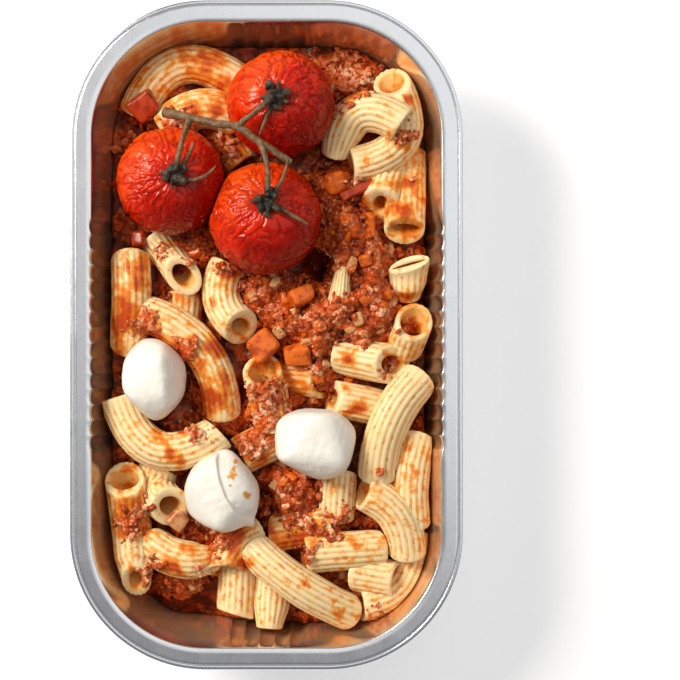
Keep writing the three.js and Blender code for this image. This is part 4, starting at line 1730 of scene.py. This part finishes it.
@dataclass
class Mince:
    """Crumbs of fried mince in clumps, thick on the piles and sparse between them.

    The crumbs that touch are then fused, as the sauce binds them.
    """

    bed: SauceBed
    surface: Surface
    crumbs: int = 10500
    crumb_radius: float = 0.8
    on_pasta: float = 0.8  # size of the crumbs there
    spread_x: float = 46.0
    spread_y: float = 86.0
    step: float = 2.4  # between the heights of one clump's crumbs, at most
    tone: float = 0.47
    clump_tone: float = 0.12
    crumb_tone: float = 0.15
    stray: float = 0.002
    voxel: float = 0.32
    grain: float = 1.0
    grain_height: float = 0.45
    bits: int = 60
    seed: int = 21
    # Spots where mince lies on top of macaroni: x, y, spread.
    spots: tuple[tuple[float, float, float], ...] = (
        (-35, 3.5, 2.6), (-22.5, -4.3, 2.3), (-22.5, -13, 1.8), (-19.5, -20, 2.2),
        (-22, -28.3, 2.2),
        (-1, -16, 4), (0, -23, 4.5), (-4, -30, 3.5), (-23, -56, 3.5), (-15, -58.5, 3.5),
        (-40, -55, 2.6), (4, -44, 4), (9, -50, 4.5), (12, -63, 2.5), (20, -56, 3.5),
        (36.2, -8.8, 1.3), (37, 3, 3), (40, 5, 2.5), (-24, 17.5, 1.8), (-19, 24, 2), (-27, 62, 1.5),
        (-14, 57, 2.5), (40.5, 57.5, 1.6), (26, 40, 3), (-12.5, 19.5, 1.6), (-31, 26, 1.5),
        (-34, -70, 3), (22, 8, 3.5), (22, 74, 5), (29, 74, 4), (19, 67, 3),
    )
    # Places that are free of mince: the holes and ends of macaroni that show.
    clean: tuple[tuple[float, float, float], ...] = (
        (-39.5, -72, 4.5), (41.3, 17, 5.5), (-24.5, 16.5, 3), (-28, -49, 3.5), (-7, 3.5, 3.5),
        (39.5, 31, 5), (22, 13, 3.5), (-1.5, -9.5, 3), (32, -6.5, 4), (35.5, 74, 4.5), (27, 61, 5),
        (28, 52, 4), (-11, -20, 4), (-12.5, -10, 5), (28, 67, 4.5), (34, 66, 4),
    )

    def wanted(self, x: float, y: float, owner: str, random: Random) -> bool:
        """Whether a clump that falls at a place stays there.

        Args:
            x: the place across the tray.
            y: the place along the tray.
            owner: the piece that it falls on.
            random: decides where it may or may not.

        Returns:
            True where it stays.
        """
        place = np.array([[x, y, 0]])
        if spots_at(place, self.clean)[0] > 0.37:
            return False
        if owner == "sauce_bed":
            pile = float(self.bed.pile_height(np.array([x]), np.array([y]))[0])
            return random.random() < 0.10 + pile / 4
        return random.random() < self.stray + 0.8 * spots_at(place, self.spots)[0]

    def build(self) -> list[bpy.types.Object]:
        """Drops clumps of crumbs and bits of vegetable onto the food.

        Returns:
            The mince in three pieces, and one piece of bits for each kind.
        """
        random = Random(self.seed)
        shapes, faces = lump_shapes(random, 16, 0.7)
        items: list[tuple[np.ndarray, float]] = []
        bits: dict[Root, list] = {Root.CARROT: [], Root.ONION: []}
        while len(items) < self.crumbs:
            x = random.uniform(-self.spread_x, self.spread_x)
            y = random.uniform(-self.spread_y, self.spread_y)
            found = self.surface.below(x, y)
            if found is None or found[1] not in ("sauce_bed", "macaroni_front", "macaroni_back"):
                continue
            if not self.wanted(x, y, found[1], random):
                continue
            # Painted light and shade: crumbs that lie high are painted paler, and those deep in the
            # sauce darker.
            high = float(found[0] - self.bed.top(np.array([x]), np.array([y]))[0])
            tone = random.gauss(self.tone, self.clump_tone) + 0.12 * max(-2.5, min(2, high))
            wide = random.uniform(0.7, 1.8)
            for _ in range(round(5 * wide * wide) + 2):
                gx, gy = x + random.gauss(0, wide), y + random.gauss(0, wide)
                under = self.surface.below(gx, gy)
                if under is None or abs(under[0] - found[0] + 0.4) > self.step:
                    continue
                radius = self.crumb_radius * (0.5 + 1.1 * random.random() ** 2)
                radius *= 1.0 if found[1] == "sauce_bed" else self.on_pasta
                mound = max(0.0, 1.4 * wide - 0.6 * math.hypot(gx - x, gy - y) ** 1.5)
                lift = radius * random.uniform(0, 0.6) + mound * random.random()
                points = shapes[random.randrange(len(shapes))] @ turned(random) * radius
                own = tone + random.gauss(0, self.crumb_tone)
                items.append((points + (gx, gy, under[0] + lift), own))
            if found[1] == "sauce_bed" and random.random() < self.bits / (self.crumbs / 8):
                edge = random.uniform(0.8, 1.8)
                block = np.sign(shapes[0]) * np.abs(shapes[0]) ** 0.5 * edge * (1, 0.9, 0.7)
                place = (x, y, found[0] + 1.4 * wide + 0.2)
                root = random.choice((Root.CARROT, Root.CARROT, Root.ONION))
                bits[root].append((block @ turned(random) + place, 0.5))
        wholes = []
        material = MinceFinish().material()
        third = -(-len(items) // 3)
        items.sort(key=lambda item: item[0][0][1])
        for index, part in enumerate(("front", "middle", "back")):
            share = items[index * third : (index + 1) * third]
            piece = from_shapes(f"mince_{part}", share, faces)
            self.fuse(piece, share)
            finish_piece(piece, material, "pasta_and_sauce", "macaroni_bolognese")
            wholes.append(piece)
        for root, blocks in bits.items():
            piece = from_shapes(f"{root.value}_bits", blocks, faces)
            material = bpy.data.materials[ROOT_FINISHES[root].name]
            finish_piece(piece, material, "pasta_and_sauce", "macaroni_bolognese")
            wholes.append(piece)
        return wholes

    def fuse(self, piece: bpy.types.Object, crumbs: Sequence[tuple[np.ndarray, float]]) -> None:
        """Lets crumbs that touch grow together, as the sauce binds them.

        Args:
            piece: all the crumbs as one mesh.
            crumbs: each crumb's vertices and its tone, which its part of the surface keeps.
        """
        apply_modifier(piece, "REMESH", mode="VOXEL", voxel_size=self.voxel * MM)
        tree = KDTree(len(crumbs))
        for index, (corners, _) in enumerate(crumbs):
            tree.insert(corners.mean(axis=0), index)
        tree.balance()
        points = read_points(piece)
        tones = np.array([tone for _, tone in crumbs])
        grain_bumps_and_shade = crumbs_at(points, self.grain) - 0.5
        # Painted shade: the tone is darker in the valleys between granules, where the same pattern
        # sinks the surface.
        store(piece, "tone", tones[[tree.find(point)[1] for point in points]] + 0.5 * grain_bumps_and_shade)
        ways = np.array([vertex.normal for vertex in piece.data.vertices])
        points += ways * (self.grain_height * grain_bumps_and_shade)[:, None]
        write_points(piece, self.bed.tray.press_inside(points))
        smooth(piece)


# ---- tomatoes and their vine -----------------------------------------------------------------


@dataclass(frozen=True)
class TomatoPlace:
    """Where a tomato lies, its size, and where its calyx is on top."""

    centre: Place
    radius: float
    calyx: tuple[float, float]
    seed: float


TOMATOES = {
    "tomato_top": TomatoPlace((4, 67, -4), 15.8, (2.8, 68.0), 1.7),
    "tomato_left": TomatoPlace((-28, 45, -5), 16.0, (-25.6, 45.6), 4.2),
    "tomato_right": TomatoPlace((-0.5, 34, -3.5), 16.5, (0.8, 38.0), 9.1),
}


@dataclass
class Tomatoes:
    """Three roasted tomatoes, with loose skin that has wrinkled as they cooled."""

    flattening: float = 0.87
    wrinkle: float = 0.55
    tangle: float = 0.14
    dent: float = 1.0
    dimple: float = 1.6
    press_at: tuple[float, float] = (-14.3, 39.4)

    def build(self) -> list[bpy.types.Object]:
        """Models each tomato.

        Returns:
            The three tomatoes.
        """
        material = TomatoFinish().material()
        return [self.tomato(name, place, material) for name, place in TOMATOES.items()]

    def tomato(
        self, name: str, place: TomatoPlace, material: bpy.types.Material
    ) -> bpy.types.Object:
        """Models one tomato from a ball, wrinkled outwards from its calyx.

        Args:
            name: the solid that it stands for.
            place: where it lies.
            material: its skin.

        Returns:
            The new piece.
        """
        deselect()
        bpy.ops.mesh.primitive_ico_sphere_add(subdivisions=7, radius=MM)
        ball = new_piece(f"{name}_skin")
        ways = read_points(ball) + FROM_ORIGIN
        centre = np.array(place.centre)
        offset = (np.array(place.calyx) - centre[:2]) / place.radius
        pole = np.array([*offset, math.sqrt(max(0.0, 1 - float(offset @ offset)))])
        side = np.cross(pole, (0.0, 1.0, 0.0))
        side /= np.linalg.norm(side)
        front = np.cross(pole, side)
        polar = np.arccos(np.clip(ways @ pole, -1, 1))
        azimuth = np.arctan2(ways @ front, ways @ side)
        # Wrinkles run down from the calyx: narrow round it, wider and longer away from it.
        wander = noise_at(ways, 0.45, 2, place.seed + 5)
        lines = []
        for count, seed in ((4.4, 0.0), (2.7, 31.0)):
            spread = np.column_stack(
                [count * np.cos(azimuth), count * np.sin(azimuth), 1.7 * polar]
            )
            field_value = noise_at(spread + wander[:, None] * 0.8, 1.0, 2, place.seed + seed)
            lines.append(np.exp(-((field_value / 0.16) ** 2)))
        knots = np.exp(
            -((noise_at(ways + wander[:, None] * 0.06, 0.13, 2, place.seed + 9) / 0.2) ** 2)
        )
        patch = smoothstep(-0.5, 0.15, noise_at(ways, 0.8, 2, place.seed))
        crown = smoothstep(2.3, 1.3, polar) * smoothstep(0.05, 0.3, polar)
        crease = np.maximum(lines[0] * patch, 0.75 * lines[1])
        drop = (self.wrinkle * crease + self.tangle * knots * patch) * (0.2 + 0.8 * crown)
        drop += self.dent * smoothstep(0.0, 0.8, noise_at(ways, 0.7, 2, place.seed + 3))
        drop += self.dimple * np.exp(-((polar / 0.28) ** 2))
        points = ways * (place.radius - drop)[:, None] * (1, 1, self.flattening) + centre
        write_points(ball, self.pressed(name, points))
        # Painted shade: the material paints the creases darker.
        store(ball, "crease", np.clip(crease * crown, 0, 1))
        # Painted light and shade: paler towards the window light at the upper left, darker on the
        # far side.
        store(ball, "painted_lit_side", 0.25 - 0.45 * (ways @ (0.55, -0.75, 0.1)))
        smooth(ball)
        finish_piece(ball, material, "tomato", name)
        return ball

    def pressed(self, name: str, points: np.ndarray) -> np.ndarray:
        """Flattens the two tomatoes that press on each other where they meet.

        Args:
            name: the tomato.
            points: its vertices.

        Returns:
            The moved points.
        """
        if name == "tomato_top":
            return points
        way = np.array(TOMATOES["tomato_right"].centre[:2]) - TOMATOES["tomato_left"].centre[:2]
        way = way / np.linalg.norm(way) * (1 if name == "tomato_left" else -1)
        over = (points[:, :2] - self.press_at) @ way + 0.2
        moved = points.copy()
        moved[:, :2] -= np.maximum(over, 0)[:, None] * way
        return moved


@dataclass
class Vine:
    """The dried piece of vine that the three tomatoes still hang on."""

    stem_radius: float = 1.1
    thickness: tuple[float, ...] = (1.45, 1.05, 1, 1.15, 1, 0.9, 1)  # along the route
    voxel: float = 0.24
    calyx_lift: float = 1.7
    knots: int = 13
    seed: int = 4
    route: tuple[Place, ...] = (
        (-29.5, 64.4, -0.5),
        (-21.5, 62.3, 4.5),
        (-14, 60.3, 7.5),
        (-8, 59.4, 8.5),
        (-2.9, 55.8, 9.3),
        (1.5, 53.0, 9.8),
        (7.4, 49.0, 9.6),
    )
    stalks: dict[str, tuple[Place, ...]] = field(
        default_factory=lambda: {
            "tomato_left": ((-21.8, 62.0, 4.5), (-23.6, 55.5, 9.5), (-25.6, 46.5, 10.2)),
            "tomato_top": ((-8, 59.4, 8.5), (-3.5, 62.8, 11.3), (2.4, 67.6, 11.2)),
            "tomato_right": ((-1.5, 55.2, 9.5), (0.5, 48.5, 12.0), (0.9, 39.2, 12.2)),
        }
    )
    # Each sepal's way in degrees, its length, how far its tip lifts and how it curls.
    sepals: dict[str, tuple[tuple[float, float, float, float], ...]] = field(
        default_factory=lambda: {
            "tomato_left": (
                (50, 11, 0.8, 0.2), (-38, 12, 0.5, 0.9), (160, 5, 0, 0.3), (-120, 4.5, 0, 0.3)
            ),
            "tomato_top": (
                (-112, 12, 0.8, 0), (170, 4.5, 0, 0.3), (60, 4.5, 0, 0.3), (-40, 5, 0, 0.3)
            ),
            "tomato_right": (
                (47, 13, 1.2, 0.3), (-30, 13.5, 0.5, 0), (165, 5.5, 0, 0.3), (-100, 5, 0, 0.3)
            ),
        }
    )

    @staticmethod
    def rod(places: Sequence[Place], radii: Sequence[float]) -> bpy.types.Object:
        """Makes a tapered rod.

        Args:
            places: where it runs through.
            radii: its radius at each place.

        Returns:
            The rod, as a mesh.
        """
        curve = bpy.data.curves.new("rod", "CURVE")
        curve.dimensions = "3D"
        curve.bevel_depth = MM
        curve.bevel_resolution = 4
        curve.use_fill_caps = True
        spline = curve.splines.new("BEZIER")
        spline.bezier_points.add(len(places) - 1)
        for point, place, radius in zip(spline.bezier_points, places, radii):
            point.co = metres(place)
            point.radius = radius
            point.handle_left_type = point.handle_right_type = "AUTO"
        rod = bpy.data.objects.new("rod", curve)
        bpy.context.scene.collection.objects.link(rod)
        activate(rod)
        bpy.ops.object.convert(target="MESH")
        return bpy.context.object

    def calyx_place(self, name: str) -> np.ndarray:
        """The middle of a tomato's calyx, just clear of its skin.

        Args:
            name: the tomato.

        Returns:
            Its x, y, z.
        """
        place = TOMATOES[name]
        top = place.centre[2] + place.radius * Tomatoes.flattening - Tomatoes.dimple
        return np.array([*place.calyx, top + self.calyx_lift])

    def calyx(self, name: str, random: Random) -> list[bpy.types.Object]:
        """Models the knot of dried sepals on one tomato.

        Args:
            name: the tomato.
            random: where the knot's unevenness comes from.

        Returns:
            Its lumps and sepals.
        """
        middle = self.calyx_place(name)
        centre = np.array(TOMATOES[name].centre)
        radius = TOMATOES[name].radius
        parts = []
        for index in range(self.knots):
            # Steps of 2.4 radians, the golden angle, spread the knots evenly.
            angle, reach = index * 2.4 + random.uniform(-0.3, 0.3), random.uniform(0.8, 3.6)
            off = (reach * math.cos(angle), reach * math.sin(angle), random.uniform(-0.6, 0.6))
            deselect()
            bpy.ops.mesh.primitive_ico_sphere_add(
                subdivisions=3, radius=random.uniform(0.9, 1.5) * MM, location=metres(middle + off)
            )
            parts.append(new_piece("knot"))
        for degrees, length, lift, curl in self.sepals[name]:
            places = []
            for t in np.linspace(0, 1, 6):
                angle = math.radians(degrees) + curl * t
                x = middle[0] + math.cos(angle) * length * t
                y = middle[1] + math.sin(angle) * length * t
                flat = max(0.05, 1 - ((x - centre[0]) ** 2 + (y - centre[1]) ** 2) / radius**2)
                skin = centre[2] + radius * Tomatoes.flattening * math.sqrt(flat)
                places.append((x, y, max(skin + 0.4, middle[2] - 1.2 * t) + lift * t * t))
            parts.append(self.rod(places, (0.9, 0.75, 0.62, 0.58, 0.5, 0.25)))
        return parts

    def build(self) -> bpy.types.Object:
        """Models the stem, its stalks and the calyxes, and lets them grow together.

        Returns:
            The vine.
        """
        random = Random(self.seed)
        size = self.stem_radius
        parts = [self.rod(self.route, [part * size for part in self.thickness])]
        for name, route in self.stalks.items():
            parts.append(self.rod(route, (size, 0.66 * size, 0.9 * size)))
            parts.extend(self.calyx(name, random))
        vine = joined(parts, "tomato_vine")
        apply_modifier(vine, "REMESH", mode="VOXEL", voxel_size=self.voxel * MM)
        points = read_points(vine)
        char = np.zeros(len(points))
        for name in TOMATOES:
            away = np.linalg.norm(points - self.calyx_place(name), axis=1)
            strength = 1.0 if name == "tomato_right" else 0.9
            char = np.maximum(char, strength * smoothstep(7.0, 2.2, away))
        char = np.clip(char + 0.35 * noise_at(points, 2.0, 2) * (char > 0), 0, 1)
        ways = np.array([vertex.normal for vertex in vine.data.vertices])
        knobbly = noise_at(points, 1.1, 3) * (0.12 + 0.3 * char)
        write_points(vine, points + ways * knobbly[:, None])
        store(vine, "char", char)
        smooth(vine)
        finish_piece(vine, VineFinish().material(), "vine", "vine")
        return vine


# ---- mozzarella ------------------------------------------------------------------------------


@dataclass(frozen=True)
class Curd:
    """A ball of mozzarella: its centre, and the flats that squeeze it.

    Each flat is its way round in degrees, its tilt above level and its distance from the centre.
    """

    centre: Place
    flats: tuple[tuple[float, float, float], ...]
    roundness: float = 11.0
    stains: tuple[tuple[float, float, float], ...] = ()


BELOW = ((0, -90, 8.8), (60, -40, 10.5), (240, -40, 10.5), (150, -40, 11), (330, -40, 11))
CURDS = {
    "mozzarella_left": Curd(
        (-33, -13, -5),
        (
            (180, 0, 8.9), (0, 0, 9.2), (90, 5, 12), (42, 10, 9.9), (140, 8, 10.7), (225, 5, 9.4),
            (320, 5, 9.8), (275, 0, 12.6), (180, 76, 8.3), (5, 38, 8.3), (110, 45, 10.4),
            (265, 50, 9.8),
        ),
        10.0,
    ),
    "mozzarella_right": Curd(
        (14.3, -31.8, -5),
        (
            (0, 0, 12.3), (45, 5, 11.6), (90, 5, 10), (118, 8, 11.7), (183, 3, 11.9), (243, 4, 9.3),
            (287, 4, 11), (338, 4, 11.3), (100, 86, 8.8), (20, 48, 10.2), (150, 50, 10.3),
            (262, 45, 9.6),
        ),
    ),
    "mozzarella_bottom": Curd(
        (-13, -46, -4.8),
        (
            (34, 8, 9.8), (151, 8, 11.3), (118, 8, 11.7), (191, 3, 11.0), (244, 3, 10.8),
            (289, 0, 11.6),
            (335, 0, 11.7), (3, 3, 11), (85, 15, 13.4), (160, 84, 8.9), (210, 50, 10),
            (320, 50, 10.2),
            (80, 50, 11.2), (15, 52, 10),
        ),
        stains=(
            (-9.7, -40.6, 1.2), (-9.3, -38.6, 1.1), (-9.0, -36.8, 0.8), (-5.6, -46.2, 1.1),
            (-10.2, -43.3, 0.45),
        ),
    ),
}


@dataclass
class Mozzarella:
    """Three small balls of mozzarella, squeezed and torn as they were pulled off."""

    # The edge of the flap on the front ball, from its top edge to its torn corner.
    fold_y: tuple[float, ...] = (-9.5, -4.8, -0.75, 4.6, 10, 13)
    fold_x: tuple[float, ...] = (9, 4.3, 1.5, -0.4, -1.3, -0.6)
    fold_depth: float = 0.8
    torn_at: tuple[float, float] = (9.3, -9.6)

    def build(self) -> list[bpy.types.Object]:
        """Models each ball.

        Returns:
            The three balls.
        """
        material = CurdFinish().material()
        return [self.ball(name, curd, material) for name, curd in CURDS.items()]

    def ball(self, name: str, curd: Curd, material: bpy.types.Material) -> bpy.types.Object:
        """Models one ball, as a sphere that flats have squeezed.

        Args:
            name: the solid that it stands for.
            curd: its place and its flats.
            material: its finish.

        Returns:
            The ball.
        """
        deselect()
        bpy.ops.mesh.primitive_ico_sphere_add(subdivisions=7, radius=MM)
        ball = new_piece(f"{name}_ball")
        ways = read_points(ball) + FROM_ORIGIN
        squeeze = np.zeros(len(ways))
        for turn, tilt, distance in (*curd.flats, *BELOW):
            a, e = math.radians(turn), math.radians(tilt)
            flat = np.array([math.cos(a) * math.cos(e), math.sin(a) * math.cos(e), math.sin(e)])
            squeeze += (np.maximum(ways @ flat, 0) / distance) ** curd.roundness
        reach = squeeze ** (-1 / curd.roundness)
        reach += 0.22 * noise_at(ways, 0.6, 3, curd.centre[0]) + 0.05 * noise_at(ways, 0.15, 2, 3.0)
        points = ways * reach[:, None]
        if name == "mozzarella_bottom":
            points = self.folded(points, ways)
        points += curd.centre
        write_points(ball, points)
        stain = spots_at(points, curd.stains) + 0.45 * noise_at(points, 0.9, 2)
        store(ball, "stain", smoothstep(0.25, 0.75, stain) * (ways[:, 2] > 0.2) * bool(curd.stains))
        smooth(ball)
        finish_piece(ball, material, "mozzarella", name)
        return ball

    def folded(self, points: np.ndarray, ways: np.ndarray) -> np.ndarray:
        """Lays a flap of curd over the right side of the ball and pulls out its torn corner.

        Args:
            points: the ball's vertices, from its centre.
            ways: each vertex's way out.

        Returns:
            The moved points.
        """
        x, y = points[:, 0], points[:, 1]
        past = x - np.interp(y, self.fold_y, self.fold_x)
        on_top = smoothstep(0.1, 0.4, ways[:, 2]) * smoothstep(-10.5, -7, y)
        step = smoothstep(-0.35, 0.35, past) * smoothstep(9, 0.5, past)
        lip = np.exp(-((past + 0.7) ** 2) / 0.8)
        moved = points - ways * ((self.fold_depth * step - 0.25 * lip) * on_top)[:, None]
        corner = np.exp(-((x - self.torn_at[0]) ** 2 + (y - self.torn_at[1]) ** 2) / 2.6)
        moved[:, :2] += corner[:, None] * (2.0, -2.8)
        return moved


# ---- studio ----------------------------------------------------------------------------------


@dataclass
class Studio:
    """The table, the lights and the camera straight above."""

    camera_x: float = 21.3
    camera_y: float = -1.5
    camera_height: float = 620.0
    view_width: float = 196.7  # of the picture, at the rim
    sky: float = 0.21
    film: float = 36.0  # width of the camera's film

    def light(
        self, name: str, place: Place, size: float, watts: float, colour: str, roll: float = 0.0
    ) -> None:
        """Adds a square soft light that shines at the dish.

        Args:
            name: its name.
            place: where it hangs.
            size: its edge.
            watts: its power.
            colour: its colour.
            roll: how far it is turned about its own axis, in degrees.
        """
        data = bpy.data.lights.new(name, "AREA")
        data.shape = "SQUARE"
        data.size = size * MM
        data.energy = watts
        data.color = linear(colour)[:3]
        lamp = bpy.data.objects.new(name, data)
        lamp.location = metres(place)
        aim = (metres((0, 0, 0)) - metres(place)).to_track_quat("-Z", "Y").to_euler()
        aim.rotate_axis("Z", math.radians(roll))
        lamp.rotation_euler = aim
        bpy.context.scene.collection.objects.link(lamp)

    def build(self) -> None:
        """Sets the table, the world, the lights and the camera."""
        deselect()
        bpy.ops.mesh.primitive_plane_add(size=6)
        floor = new_piece("table_top")
        floor.data.materials.append(FloorFinish().material())
        world = bpy.data.worlds.new("studio")
        world.use_nodes = True
        background = world.node_tree.nodes["Background"]
        background.inputs["Color"].default_value = (1, 1, 1, 1)
        background.inputs["Strength"].default_value = self.sky
        scene = bpy.context.scene
        scene.world = world
        scene.view_settings.view_transform = "Standard"
        self.light("window", (-640, 385, 630), 400, 10.7, "#fffaf2")
        self.light("overhead", (430, 345, 1000), 1300, 4.2, "#ffffff", 38)
        data = bpy.data.cameras.new("camera")
        data.sensor_width = self.film
        data.lens = self.film * self.camera_height / self.view_width
        camera = bpy.data.objects.new("camera", data)
        camera.location = metres((self.camera_x, self.camera_y, self.camera_height))
        scene.collection.objects.link(camera)
        scene.camera = camera


def main() -> None:
    """Builds the dish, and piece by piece."""
    logging.basicConfig(level=logging.INFO, format="%(message)s")
    Studio().build()
    tray = Tray()
    tray.build()
    bed = SauceBed(tray)
    sauce = bed.build()
    macaroni = Macaroni(tray, bed).build()
    toppings = [*Tomatoes().build(), *Mozzarella().build()]
    vegetables = Vegetables().build()
    Vine().build()
    Mince(bed, Surface([sauce, *macaroni, *toppings, *vegetables])).build()


if __name__ == "__main__":
    main()
